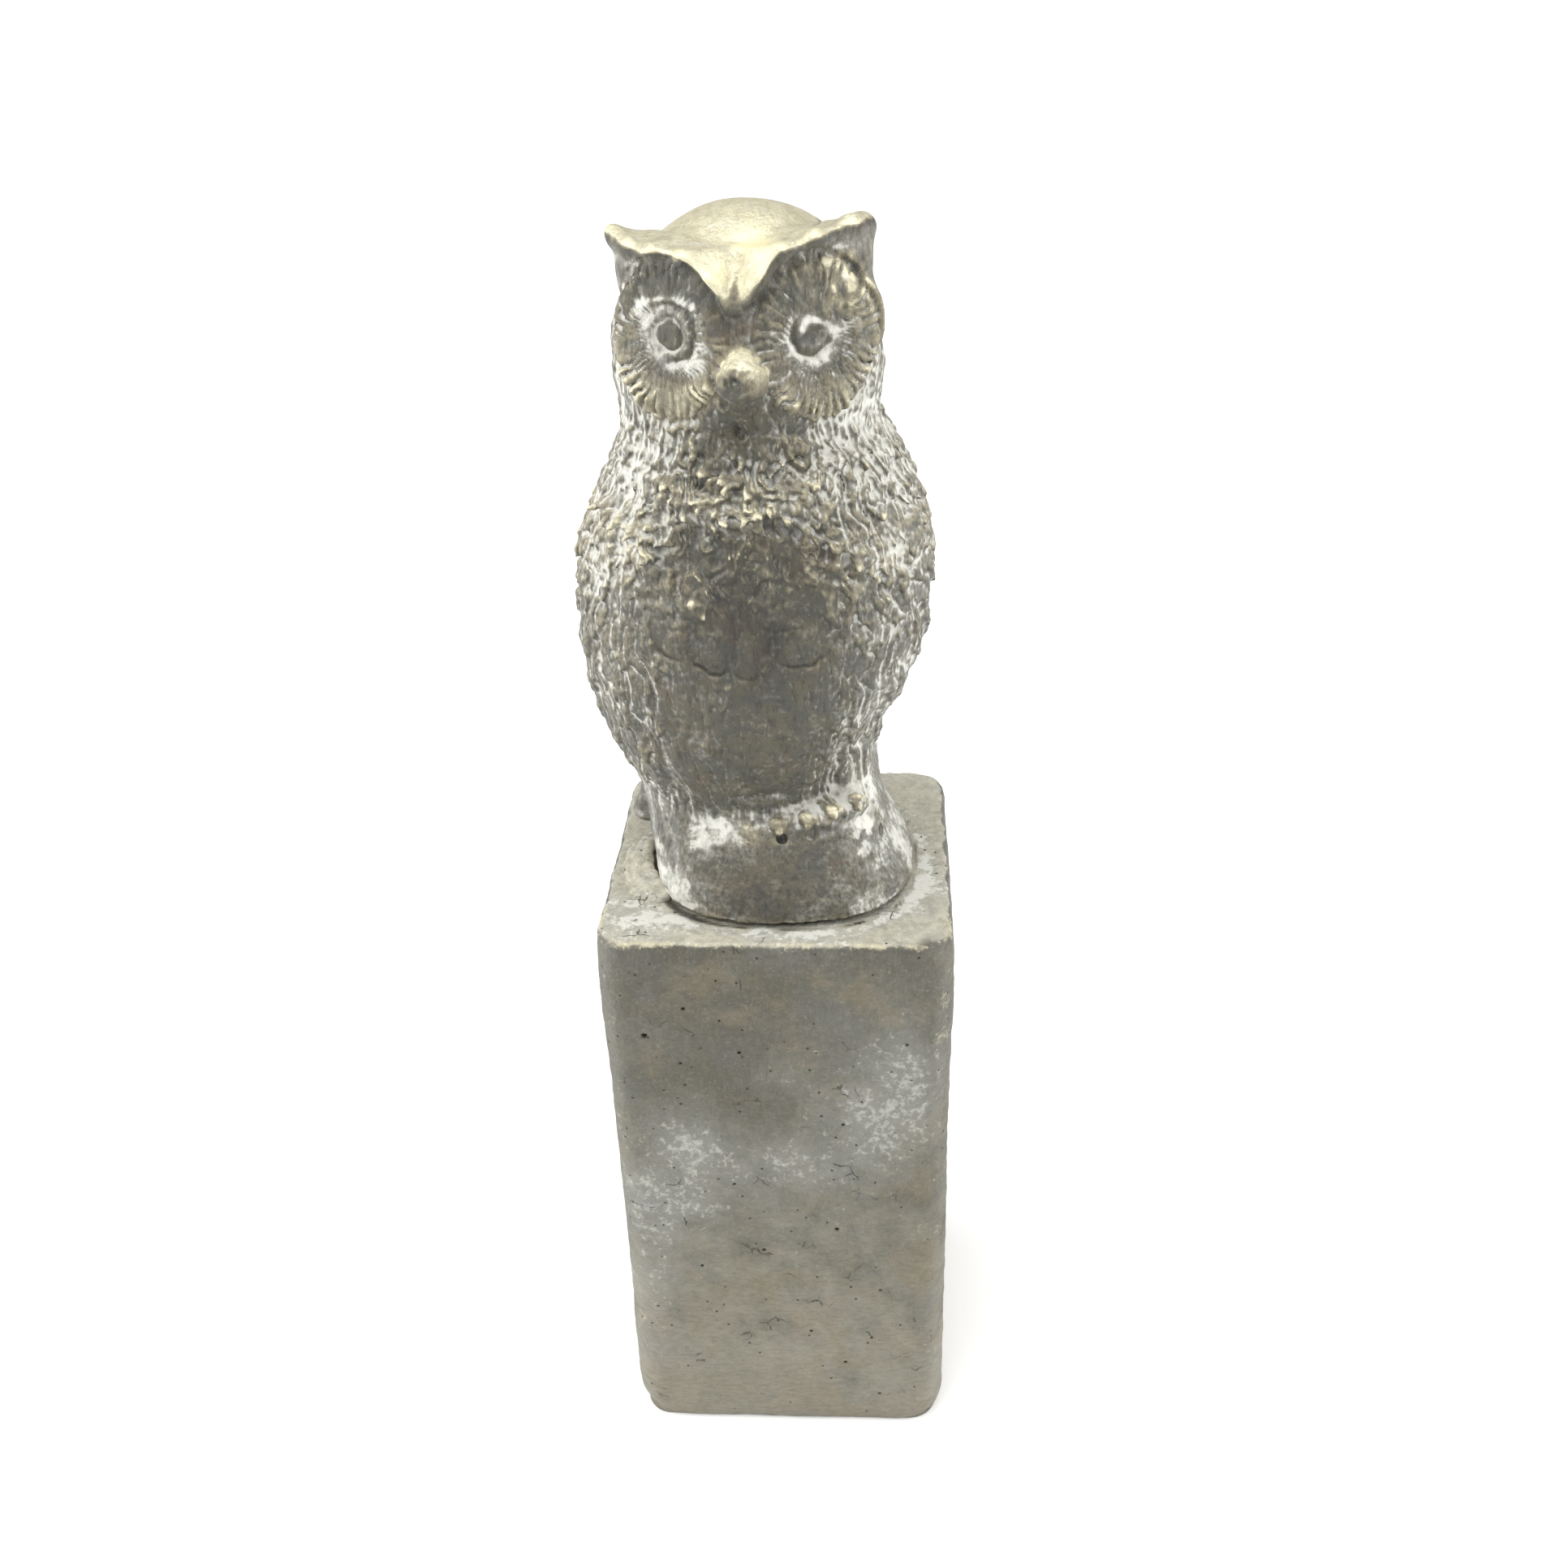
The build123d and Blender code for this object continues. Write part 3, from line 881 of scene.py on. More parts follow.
def store_owl_paint(data, points, facing, fine, wide, on_disc, beak, socle, angle, groove):
    """How much whitewash, gold and darkness each vertex of the owl carries; among them are painted light from
    above, painted highlights and painted shade.
    """
    x, y, z = points.T
    rise, up = z - DECK, facing[:, 2]
    # Painted light from above: tilt is how much more a vertex faces up than its neighbourhood; upper slopes
    # get more whitewash and gold, lower slopes more darkness.
    tilt = up - Links(data).spread(up, 30)
    patch = cloud(points, 8.0, 60) + 0.5 * cloud(points, 2.5, 61)
    hairs = value_noise(points * (1, 1, 0.4), 1.0, 67)
    crease = scallop_creases(points)
    side, front = smooth_step(0.35, 1.0, angle), smooth_step(-4.0, -8.0, y)
    ruff = smooth_step(84, 90, rise) * (1 - on_disc)
    shoulder = smooth_step(66, 78, rise) * (1 - ruff) * (1 - on_disc)
    eyes, low_disc, streaks, inner, eye_gap = disc_marks(points, on_disc)

    edge = z - np.interp(x, *np.array(BROW_EDGE).T) + 0.15 * value_noise(points, 0.9, 64)
    ragged = 0.2 * value_noise(points, 2.0, 65) + 0.45 * hairs * smooth_step(4, 1, edge)
    brow = smooth_step(-0.4, 3.8, edge + ragged) * np.maximum(front, smooth_step(-0.1, 0.35, up))
    by_brow = front * smooth_step(CROWN - 17, CROWN - 12, z)
    # painted shadow under the overhanging brows: less whitewash and gold there, and more darkness
    brow_shadow = smooth_step(0.6, -0.4, edge) * by_brow
    rim = bump(edge - 0.3, 1.4) * by_brow * smooth_step(3, 8, np.abs(x - BRIDGE[0]))
    # a less gilded, darker line down the middle of the forehead: painted shade in the central crease, with
    # brownish speckles
    crest = bump(x - BRIDGE[0] - 0.10 * (z - BRIDGE[2]), 1.0) * front * smooth_step(CROWN - 5, CROWN - 9, z)
    ear = bump(np.hypot(x - 18.0, z - (CROWN - 9.0)), 7.0) * smooth_step(0.5, -1.0, edge)
    # painted shade on the recessed bridge between the discs: less gold and more darkness
    bridge = spot(x - BRIDGE[0], z - (CROWN - 18.0), 4.0, 2.6) * front
    # painted shade on the chin under the beak: less whitewash and gold, and more darkness
    chin = spot(x - FACE_X, z - (CROWN - 36), 5.5, 5.0) * front
    chip = chipped(points)
    collar_left = spot(x + 26, z - 229, 6, 6) * front

    wash = 2.4 * fine + 0.30 * groove + 0.55 * tilt + 0.24 * patch + 0.3 * np.clip(wide, -0.3, 0.3) - 0.12
    wash += ruff * (-0.15 + 0.40 * side) + shoulder * (-0.14 + 0.24 * side)
    wash += 0.9 * eyes + 0.40 * streaks + 0.24 * inner - 0.02 * side * (1 - ruff - shoulder)
    wash -= 0.8 * brow + 0.25 * beak + 0.05 * on_disc + 0.12 * brow_shadow + 0.35 * chin + 0.15 * ear
    ledge = bump(rise - 20.5 - 0.22 * x, 2.4) * smooth_step(14.0, 2.0, x) * smooth_step(-20, -14, x)
    foot = spot(x + 21, rise - 4, 7, 6)
    wash += socle * (-0.10 + (0.25 * ledge + 0.55 * foot) * front + 0.30 * side + 0.34 * patch)
    wash += 0.62 * socle_crust(points, front) - 0.35 * smooth_step(-27, -29, x) * smooth_step(24, 18, rise)
    right_flank = smooth_step(0.45, 1.0, body_angle(points)) * smooth_step(62, 48, rise) * (1 - socle)
    swirls = spot(x + 17, z - 222, 7, 14) + 0.8 * spot(x - 13, z - 238, 7, 6)
    wash += 0.20 * swirls * front * (1 - on_disc) + 0.22 * right_flank + 0.10 * collar_left
    wash += 0.16 * bump(rise - 25, 5) * (1 - side)
    # The front of the body carries less whitewash, partly as painted shade; the creases under the chest
    # feathers get painted shade too.
    wash -= 0.30 * (1 - side) * (1 - ruff) * (1 - socle) + 0.3 * crease

    # Gold gathers on ridges and more on faces that look up: partly gold dry-brushed from above, partly
    # painted highlight.
    gold = -1.9 * fine + 0.5 * tilt - 0.35 * wide + 0.30 * smooth_step(-0.2, 0.9, up)
    gold = (gold + 0.25 * cloud(points, 12.0, 66) - 0.5) * (1 - 0.45 * on_disc)
    gold += brow * (0.15 + 1.3 * smooth_step(CROWN - 16, CROWN - 9.5, z) - 0.8 * crest)
    gold -= 1.3 * smooth_step(2, 20, y + 8 * patch) * brow + rim * (1.8 + 1.3 * hairs)
    gold += 0.75 * beak * smooth_step(CROWN - 31, CROWN - 25, z + 0.8 * hairs) + 0.55 * ear * (1 + hairs)
    gold += 0.20 * low_disc + 0.06 * on_disc - 0.30 * streaks
    gold -= 0.25 * brow_shadow + 0.7 * bridge + 0.6 * chin + 0.9 * chip
    gold += (0.30 + 0.5 * hairs) * spot(x - 15, z - (CROWN - 13), 6, 6) * front * on_disc
    gold -= on_disc * (0.02 + 0.35 * bump(eye_gap, 7.0))
    # painted highlights: the gold is raised at these spots on the brows and crown
    for across, height, reach, tall in PAINTED_HIGHLIGHTS:
        gold += 0.7 * spot(x - across, z - height, reach, tall) * brow
    collar = bump(rise - 92 - 0.10 * np.abs(x + 3), 4.0) * (1 - side)
    gold += 0.25 * collar + 0.18 * shoulder * side + 0.40 * collar_left + 0.05 * ruff * (1 - side)
    claws = 0.0
    for across, forward, height in TOES[1:]:
        claw = bump(np.linalg.norm(points - (across, forward - 1.2, DECK + height - 0.4), axis=1), 2.3)
        claws = claws + claw
    gold += claws * (0.62 + 0.5 * hairs)
    wash -= 0.8 * claws

    # Painted shade: darker in broad hollows, in deep creases, in the grooves round the claws and on slopes
    # that face down. The layer also holds real marks: the chipped beak, streaks on the discs and the darker
    # front of the socle.
    shade_and_marks = 1.5 * (wide - 0.30) * (1 - 0.8 * on_disc) + 0.9 * np.clip(fine - 0.22, 0, 1)
    shade_and_marks += 1.6 * claws * np.clip(fine - 0.02, 0, 0.5) - 0.5 * np.clip(tilt + 0.25, -1, 0)
    shade_and_marks += 0.15 * brow_shadow * smooth_step(0, 0.3, fine + 0.1) + 0.15 * bridge + 0.12 * crest * brow
    shade_and_marks += 0.3 * chin + 0.35 * chip + 0.5 * np.clip(-streaks - 0.2, 0, 1)
    # A darker middle of the chest: partly the chest's own darker paint, partly painted shade under the head.
    chest = (0.46 + 0.25 * patch) * spot(x + 3, rise - 68, 18, 22) * front
    rock = (0.50 + 0.25 * patch) * spot(x + 3, rise - 7, 15, 9) * front
    # painted shade in the creases under the chest feathers
    shade_and_marks = np.maximum(np.maximum(np.maximum(shade_and_marks, chest), rock), 0) + 0.40 * crease
    paint_layer(data, "wash", wash)
    paint_layer(data, "gold", gold)
    paint_layer(data, "depth", np.clip(shade_and_marks, 0, 1))
    paint_layer(data, "rise", rise / DECK)


def add_object(name, data):
    """A new object in the scene."""
    thing = bpy.data.objects.new(name, data)
    bpy.context.scene.collection.objects.link(thing)
    return thing


def finished_object(data, material, slot, *nodes):
    """Make the object, in metres, that stands for CAD nodes."""
    place_vertices(data, coordinates(data) * MM)
    data.polygons.foreach_set("use_smooth", np.ones(len(data.polygons), bool))
    data.materials.append(material)
    piece = add_object(data.name, data)
    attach(piece, "root")
    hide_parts(*nodes)


# ---------------------------------------------------------------- the plinth

CORNER_RADIUS = 7.0
LIP_RADIUS = 1.3  # of the rounding along the top edges
FOOT_RADIUS = 2.2  # of the rounding along the bottom edges
FRONT_PITS = [  # across the front face, height, radius and depth of its largest air holes
    (-28.3, 119.6, 0.75, 0.9),
    (-8.0, 115.3, 0.5, 0.6),
    (12.4, 64.1, 0.6, 0.7),
    (5.9, 31.3, 0.45, 0.5),
    (-19.3, 52.0, 0.45, 0.5),
    (22.4, 45.1, 0.4, 0.5),
]
POWDER = [  # patches of whitewash on the front: across, up, reach across and up, strength
    (27.0, 112.0, 9.0, 14.0, 1.0), (13.0, 100.0, 11.0, 9.0, 0.9), (25.0, 92.0, 10.0, 10.0, 0.9),
    (-1.0, 82.0, 10.0, 10.0, 0.8), (12.0, 84.0, 9.0, 8.0, 0.6), (-17.0, 78.0, 10.0, 12.0, 0.9),
    (-22.0, 92.0, 10.0, 8.0, 0.6), (-32.0, 57.0, 6.0, 20.0, 1.0), (-27.0, 70.0, 8.0, 10.0, 0.7),
]
WORN_CORNERS = ((-1, -1, 2.6), (1, -1, 1.8), (-1, 1, 1.4), (1, 1, 2.0))  # side, front or back, wear


def rounded_square(half, radius, pitch):
    """Points round a square with rounded corners, evenly spaced."""
    points = []
    straight = max(int((half - radius) * 2 / pitch), 2)
    bend = max(int(radius * math.pi / 2 / pitch), 3)
    for quarter in range(4):
        start = quarter * math.pi / 2
        corner = np.array((half - radius, half - radius))
        for angle in np.linspace(0, math.pi / 2, bend, endpoint=False):
            points.append(turned(corner + radius * np.array((math.cos(angle), math.sin(angle))), start))
        for share in np.linspace(0, 1, straight, endpoint=False):
            points.append(turned((corner[0] * (1 - 2 * share), half), start))
    return np.array(points)


def turned(point, angle):
    """A flat point turned round the origin."""
    c, s = math.cos(angle), math.sin(angle)
    return np.array((point[0] * c - point[1] * s, point[0] * s + point[1] * c))


def plinth_levels(half):
    """How far in and how high each ring of the plinth's mesh lies, from the middle of its foot."""
    quarter = np.linspace(0, math.pi / 2, 6)
    foot = [(FOOT_RADIUS * (1 - math.sin(a)), FOOT_RADIUS * (1 - math.cos(a))) for a in quarter]
    lip = [(LIP_RADIUS * (1 - math.cos(a)), DECK - LIP_RADIUS * (1 - math.sin(a))) for a in quarter]
    under = [(inset, 0.0) for inset in np.linspace(half - 1, FOOT_RADIUS + 2, 10)]
    side = [(0.0, z) for z in np.linspace(FOOT_RADIUS, DECK - 4, round(DECK / PLINTH_PITCH))[1:]]
    side += [(0.0, z) for z in np.linspace(DECK - 4, DECK - LIP_RADIUS, round(5 / PLINTH_PITCH))[1:-1]]
    deck = [(inset, DECK) for inset in np.arange(LIP_RADIUS + 0.6, half - 12, PLINTH_PITCH)]
    return under + foot + side + lip + deck + [(half - 6, DECK), (half - 1, DECK)]


def refine(data, near):
    """Divide the faces that touch the vertices marked as near, into sixteen each."""
    mesh = bmesh.new()
    mesh.from_mesh(data)
    mesh.verts.ensure_lookup_table()
    faces = {face for index in np.flatnonzero(near) for face in mesh.verts[index].link_faces}
    edges = {edge for face in faces for edge in face.edges}
    bmesh.ops.subdivide_edges(mesh, edges=list(edges), cuts=3, use_grid_fill=True)
    mesh.to_mesh(data)
    mesh.free()


def pit_places(half, rng):
    """Where air holes lie on the plinth's four sides and its top, with their radius and depth."""
    pits = [((x, -half, z), radius, depth) for x, z, radius, depth in FRONT_PITS]
    for side in range(4):
        for _ in range(34):
            radius = 0.22 + 0.28 * rng.random() ** 2.5
            across, z = rng.uniform(-half + 4, half - 4), DECK * rng.random() ** 0.75
            x, y = turned((across, -half), side * math.pi / 2)
            pits.append(((x, y, z), radius, radius * 1.1))
    for _ in range(12):
        x, y = rng.uniform(-half + 3, half - 3, 2)
        pits.append(((x, y, DECK), 0.35, 0.4))
    return pits


def plinth_block(half, pits):
    """A plain block with rounded edges, finer where air holes will lie."""
    loop = rounded_square(half, CORNER_RADIUS, PLINTH_PITCH)
    size = len(loop)
    rings = [np.column_stack((loop * (half - inset) / half, np.full(size, z)))
             for inset, z in plinth_levels(half)]
    faces = []
    for level in range(len(rings) - 1):
        for k in range(size):
            a, b = level * size + k, level * size + (k + 1) % size
            faces.append((a, b, b + size, a + size))
    faces.append(tuple(range(size))[::-1])
    faces.append(tuple(range((len(rings) - 1) * size, len(rings) * size)))
    data = bpy.data.meshes.new("plinth_block")
    data.from_pydata(np.concatenate(rings).tolist(), [], faces)
    points = coordinates(data)
    near = np.zeros(len(points), bool)
    for place, radius, _ in pits:
        near |= np.linalg.norm(points - place, axis=1) < radius + 0.7
    refine(data, near)
    data.update()
    return data


def plinth_relief(points, half, pits):
    """How far the plinth's surface stands out, and how much of each point is an air hole."""
    _, y, z = points.T
    edge = half - np.abs(points[:, :2]).max(axis=1)
    above_foot = z > 0.3
    top_edge = bump(DECK - z, 1.3) * bump(edge, 1.3)
    bulge = 0.7 * bump(z - (DECK - 16), 18.0) * (z < DECK - 1) * smooth_step(0, 4, DECK - z)
    height = 0.30 * cloud(points, 22.0, 70) + 0.10 * cloud(points, 3.0, 74, 2) + bulge
    height += top_edge * (0.75 * cloud(points, 3.4, 78) - 0.1 + 0.2 * smooth_step(10, 30, -y))
    height += 0.14 * cloud(points * (0.4, 0.4, 1.0), 2.2, 86) + 0.10 * cloud(points, 1.6, 88, 2)
    height -= bump(z, 3.0) * (0.5 + 0.6 * cloud(points, 9.0, 80)) * smooth_step(1.5, 0.0, edge) * above_foot
    chip = bump(np.linalg.norm(points - (half - 2.5, -half, DECK), axis=1), 3.2)
    height -= chip * (0.9 + 0.8 * value_noise(points, 1.6, 83))
    for across, forward, worn in WORN_CORNERS:
        corner = (across * (half - 1.5), forward * (half - 1.5), 0)
        height -= worn * bump(np.linalg.norm(points - corner, axis=1), 5.5) * above_foot
    pitted = np.zeros(len(points))
    for place, radius, depth in pits:
        gap = np.linalg.norm(points - place, axis=1) + 0.25 * radius * value_noise(points, 0.5, 85)
        hole = 1 - smooth_step(0.45, 1.05, gap / radius)
        height -= depth * hole
        pitted = np.maximum(pitted, hole)
    return height, pitted, top_edge * smooth_step(10, 30, -y)


def powder_ring(points, joint, patch):
    """How much whitewash drifted onto the deck round the socle."""
    x, y, _ = points.T
    drift = 0.6 * bump(joint - 1.8, 1.8) + 0.5 * bump(joint, 5.0) * patch
    drift += 1.3 * spot(x + 25, y + 25, 9, 6) + 0.5 * spot(x - 32, y + 12, 4.5, 11)
    return drift * (0.35 + 1.0 * smooth_step(-0.15, 0.25, cloud(points, 3.2, 98, 4)))


def store_plinth_paint(data, points, half, pitted, lip_front):
    """How much whitewash, gold and darkness each vertex of the plinth carries; the darkness is painted shade
    in the air holes and in the joint round the socle, and wear along the deck's front.
    """
    x, y, z = points.T
    ridge = -Links(data).hollow(points, normals(data), 12)
    front = smooth_step(-half + 3, -half, y)
    on_deck = smooth_step(DECK - 0.8, DECK - 0.2, z)
    patch = cloud(points, 11.0, 90, 4)
    band = sum(strength * spot(x - across, z - height, wide, tall)
               for across, height, wide, tall, strength in POWDER)
    band = np.clip(band, 0, 1) * (0.35 + 0.65 * front)
    offset = np.abs(points[:, :2] - SOCLE_CENTRE) / (SOCLE_RADIUS - 0.6)
    joint = ((offset**2.6).sum(axis=1) ** (1 / 2.6) - 1) * SOCLE_RADIUS  # distance from the socle
    left = smooth_step(-8, -22, x) * smooth_step(12, 4, y)
    # painted shadow in the gap round the socle: a darker line on the deck, with the whitewash taken off
    joint_shadow = np.clip(0.6 + 0.6 * left + 0.7 * value_noise(points, 5.0, 95), 0, 1)
    joint_shadow = on_deck * bump(joint - 0.3, 0.7 + 0.5 * left) * joint_shadow
    corner = smooth_step(5.0, 1.0, half - np.abs(points[:, :2]).min(axis=1)) * (1 - on_deck)
    wash = (0.36 * band * (1 + 0.5 * patch) + 0.20 * patch - 0.14 + 0.14 * corner) * (1 - on_deck)
    wash += on_deck * (0.60 * powder_ring(points, joint, patch) + 0.24 * patch + 0.05) - joint_shadow
    gold = 0.9 * ridge + 0.50 * lip_front + 0.55 * cloud(points, 5.0, 94) - 0.20
    gold += 0.14 * on_deck + corner * (0.18 + 0.25 * cloud(points * (1, 1, 0.25), 3.0, 97))
    gold -= 1.0 * smooth_step(8, 4, z)
    worn = 0.5 * np.clip(cloud(points, 4.0, 99, 4) + 0.15, 0, 1) * bump(half - 2.6 + y, 1.8) * on_deck
    paint_layer(data, "wash", wash)
    paint_layer(data, "gold", gold)
    # the depth layer: painted shade in the air holes and in the joint round the socle, and wear along the
    # deck's front
    paint_layer(data, "depth", np.maximum(np.maximum(pitted, 0.85 * joint_shadow), worn))
    paint_layer(data, "rise", z / DECK)


def plinth_mesh():
    """A tall block with soft corners, worn edges and air holes."""
    half = (PLINTH_HIGH[0] - PLINTH_LOW[0]) / 2
    pits = pit_places(half, np.random.default_rng(21))
    data = plinth_block(half, pits)
    points, facing = coordinates(data), unit(Links(data).spread(normals(data), 2))
    height, pitted, lip_front = plinth_relief(points, half, pits)
    points += facing * height[:, None]
    points[:, 2] = np.maximum(points[:, 2], 0)
    place_vertices(data, points)
    store_plinth_paint(data, points, half, pitted, lip_front)
    return data


# ---------------------------------------------------------------- the mortar

SOCLE_CENTRE = (1.4, -2.6)
SOCLE_RADIUS = 29.2
STRIP_ANGLES = (164, 214)  # degrees round the socle, over which the mortar was pressed out


def mortar_mesh():
    """The thin bed under the socle, and the rough curb of mortar beside it."""
    reach = SOCLE_RADIUS + 9
    low = (SOCLE_CENTRE[0] - reach, SOCLE_CENTRE[1] - reach, DECK - 2)
    high = (SOCLE_CENTRE[0] + reach, SOCLE_CENTRE[1] + reach, DECK + 8)
    clay = Clay(low, high, MORTAR_PITCH)
    bed = [(DECK, *bed_reach(2.0)), (DECK + 1.0, *bed_reach(2.0)), (UNDERSIDE + 0.3, *bed_reach(2.2))]
    clay.join(column(bed), 0.5)
    rng = np.random.default_rng(31)
    angles = np.radians(np.linspace(*STRIP_ANGLES, 17))
    rows = []
    for angle in angles:
        end = smooth_step(0, 0.3, angle - angles[0]) * smooth_step(0, 0.12, angles[-1] - angle)
        row = []
        for step, height in ((0.0, 2.5), (1.8, 2.1), (3.6, 0.5)):
            out = SOCLE_RADIUS + 1.9 + step * (0.6 + 0.6 * end) + rng.uniform(-0.25, 0.35)
            place = (SOCLE_CENTRE[0] + out * math.cos(angle), SOCLE_CENTRE[1] + out * math.sin(angle))
            row.append((*place, DECK - 0.6 + height * (0.45 + 0.55 * end) * rng.uniform(0.8, 1.15)))
        rows.append(row)
    for row, following in zip(rows, rows[1:]):
        for a, b in zip(row, row[1:]):
            clay.join(plate(a, b, following[0], 1.0), 0.6)
        for start, end in zip(row, following):
            clay.join(limb(start, end, 1.05, 1.05), 0.6)
    data = clay.mesh("mortar")
    points, facing = coordinates(data), normals(data)
    links = Links(data)
    points += facing * (0.40 * cloud(points, 1.8, 100) + 0.15 * cloud(points, 0.7, 104))[:, None]
    points[:, 2] = np.maximum(points[:, 2], DECK + 0.02)
    place_vertices(data, points)
    # painted shade on the bed where it lies under the socle's edge: darker, with no whitewash or gold
    under_socle_shade = smooth_step(SOCLE_RADIUS + 0.2, SOCLE_RADIUS - 0.6, np.hypot(*(points[:, :2] - SOCLE_CENTRE).T))
    wash = 0.10 + 0.5 * cloud(points, 4.0, 106) + 1.5 * links.hollow(points, normals(data), 6)
    paint_layer(data, "wash", wash - under_socle_shade)
    paint_layer(data, "gold", 0.05 + 0.4 * cloud(points, 3.0, 108) - under_socle_shade)
    paint_layer(data, "depth", 0.9 * under_socle_shade)
    paint_layer(data, "rise", points[:, 2] / DECK)
    return data


def bed_reach(inset):
    """The bed's reach to the left, right, front and back."""
    x, y = SOCLE_CENTRE
    r = SOCLE_RADIUS - inset
    return x - r, x + r, y - r, y + r


# ---------------------------------------------------------------- materials


def plain_material(name, colour, roughness):
    """A Principled material, with its shader."""
    material = bpy.data.materials.new(name)
    material.use_nodes = True
    shader = material.node_tree.nodes["Principled BSDF"]
    shader.inputs["Base Color"].default_value = (*colour, 1)
    shader.inputs["Roughness"].default_value = roughness
    return material, shader


class Nodes:
    """A short way to write a material's nodes."""

    def __init__(self, material):
        self.tree = material.node_tree
        self.place = self.add("ShaderNodeTexCoord").outputs["Object"]

    def add(self, kind, settings=None, **inputs):
        """A node with its settings and its numbered or named inputs."""
        node = self.tree.nodes.new(kind)
        for name, value in (settings or {}).items():
            setattr(node, name, value)
        for name, value in inputs.items():
            socket = node.inputs[int(name[1:])] if name[0] == "_" else node.inputs[name.replace("_", " ")]
            if isinstance(value, bpy.types.NodeSocket):
                self.tree.links.new(value, socket)
            else:
                socket.default_value = value
        return node

    def layer(self, name):
        """A number that the mesh stores for each vertex."""
        return self.add("ShaderNodeAttribute", {"attribute_name": name}).outputs["Fac"]

    def noise(self, size, detail=4.0, roughness=0.6, stretch=None):
        """Noise from 0 to 1, with bumps about size millimetres across."""
        place = self.place
        if stretch:
            place = self.add("ShaderNodeMapping", Vector=place, Scale=stretch).outputs[0]
        scale = 1 / (size * MM)
        return self.add("ShaderNodeTexNoise", Vector=place, Scale=scale, Detail=detail,
                        Roughness=roughness).outputs["Fac"]

    def sum(self, a, b, factor=1.0):
        """a + b * factor"""
        return self.add("ShaderNodeMath", {"operation": "MULTIPLY_ADD"}, _0=b, _1=factor, _2=a).outputs[0]

    def times(self, a, b):
        """a * b"""
        return self.add("ShaderNodeMath", {"operation": "MULTIPLY"}, _0=a, _1=b).outputs[0]

    def step(self, value, low, high, bottom=0.0, top=1.0):
        """A smooth rise from bottom to top as the value goes from low to high."""
        node = self.add("ShaderNodeMapRange", {"interpolation_type": "SMOOTHSTEP"}, Value=value)
        for name, number in (("From Min", low), ("From Max", high), ("To Min", bottom), ("To Max", top)):
            node.inputs[name].default_value = number
        return node.outputs[0]

    def mix(self, share, a, b):
        """Colour a where share is 0 and b where it is 1."""
        node = self.add("ShaderNodeMix", {"data_type": "RGBA"}, _0=share)
        for socket, value in ((node.inputs[6], a), (node.inputs[7], b)):
            if isinstance(value, bpy.types.NodeSocket):
                self.tree.links.new(value, socket)
            else:
                socket.default_value = (*value, 1)
        return node.outputs[2]

    def tinted(self, colour, *coats):
        """A colour under coats: each one's share, its range, its greatest strength and its colour."""
        for share, low, high, top, tone in coats:
            colour = self.mix(self.step(share, low, high, 0.0, top), colour, tone)
        return colour

    def centred(self, *settings):
        """Noise from -0.5 to 0.5."""
        return self.sum(self.noise(*settings), -0.5)

    def feed(self, shader, **sockets):
        """Link values to a shader's sockets by name."""
        for name, value in sockets.items():
            self.tree.links.new(value, shader.inputs[name.replace("_", " ")])

    def pinholes(self, gap, radius):
        """1 inside small round holes, about a gap apart, and 0 elsewhere; both in millimetres."""
        node = self.add("ShaderNodeTexVoronoi", None, Vector=self.place, Scale=1 / (gap * MM))
        return self.step(node.outputs["Distance"], 1.2 * radius / gap, 0.7 * radius / gap)

    def cracks(self, gap, width):
        """1 along short thin cracks, and 0 elsewhere; in millimetres."""
        bend_size, bend_reach = 5 * MM, 4 * MM
        bend = self.add("ShaderNodeTexNoise", Vector=self.place, Scale=1 / bend_size, Detail=4.0)
        place = self.add("ShaderNodeVectorMath", {"operation": "MULTIPLY_ADD"}, _0=bend.outputs["Color"],
                         _1=(bend_reach,) * 3, _2=self.place).outputs[0]
        cells = self.add("ShaderNodeTexVoronoi", {"feature": "DISTANCE_TO_EDGE"}, Vector=place,
                         Scale=1 / (gap * MM))
        line = self.step(cells.outputs["Distance"], width / gap, 0.3 * width / gap)
        return self.times(line, self.step(self.noise(9.0, 4, 0.6), 0.56, 0.66))

    def raised(self, height, distance, below=None):
        """A bump from a height, on top of another bump."""
        inputs = {"Height": height, "Distance": distance * MM, "Strength": 1.0}
        if below is not None:
            inputs["Normal"] = below
        return self.add("ShaderNodeBump", None, **inputs).outputs[0]


TAUPE = (0.106, 0.096, 0.066)
SLATE = (0.078, 0.078, 0.064)
RUST = (0.150, 0.108, 0.074)
BRONZE = (0.300, 0.266, 0.178)
UMBER = (0.026, 0.023, 0.018)
WHITEWASH = (0.78, 0.77, 0.70)
GOLD = (0.82, 0.765, 0.555)
OLD_GOLD = (0.62, 0.57, 0.40)
# the pale yellow of the painted highlights on the gold
HIGHLIGHT_GOLD = (1.0, 0.94, 0.62)
PALE_GOLD = (0.80, 0.79, 0.68)
OCHRE = (0.215, 0.178, 0.100)
SLATE_BLUE = (0.130, 0.136, 0.128)
CLAY_TINT = (0.330, 0.270, 0.195)
DRAGGED = (0.088, 0.082, 0.062)
DRY = (0.330, 0.315, 0.255)
HAZE = (0.390, 0.395, 0.365)
DECK_TONE = (0.630, 0.600, 0.475)
PLINTH_TONES = (0.262, 0.246, 0.184), (0.106, 0.100, 0.070)  # low and high: the lighter foot is partly the cement's own tone and partly painted light from the floor
MORTAR_TONES = (0.26, 0.25, 0.20), (0.22, 0.21, 0.17)


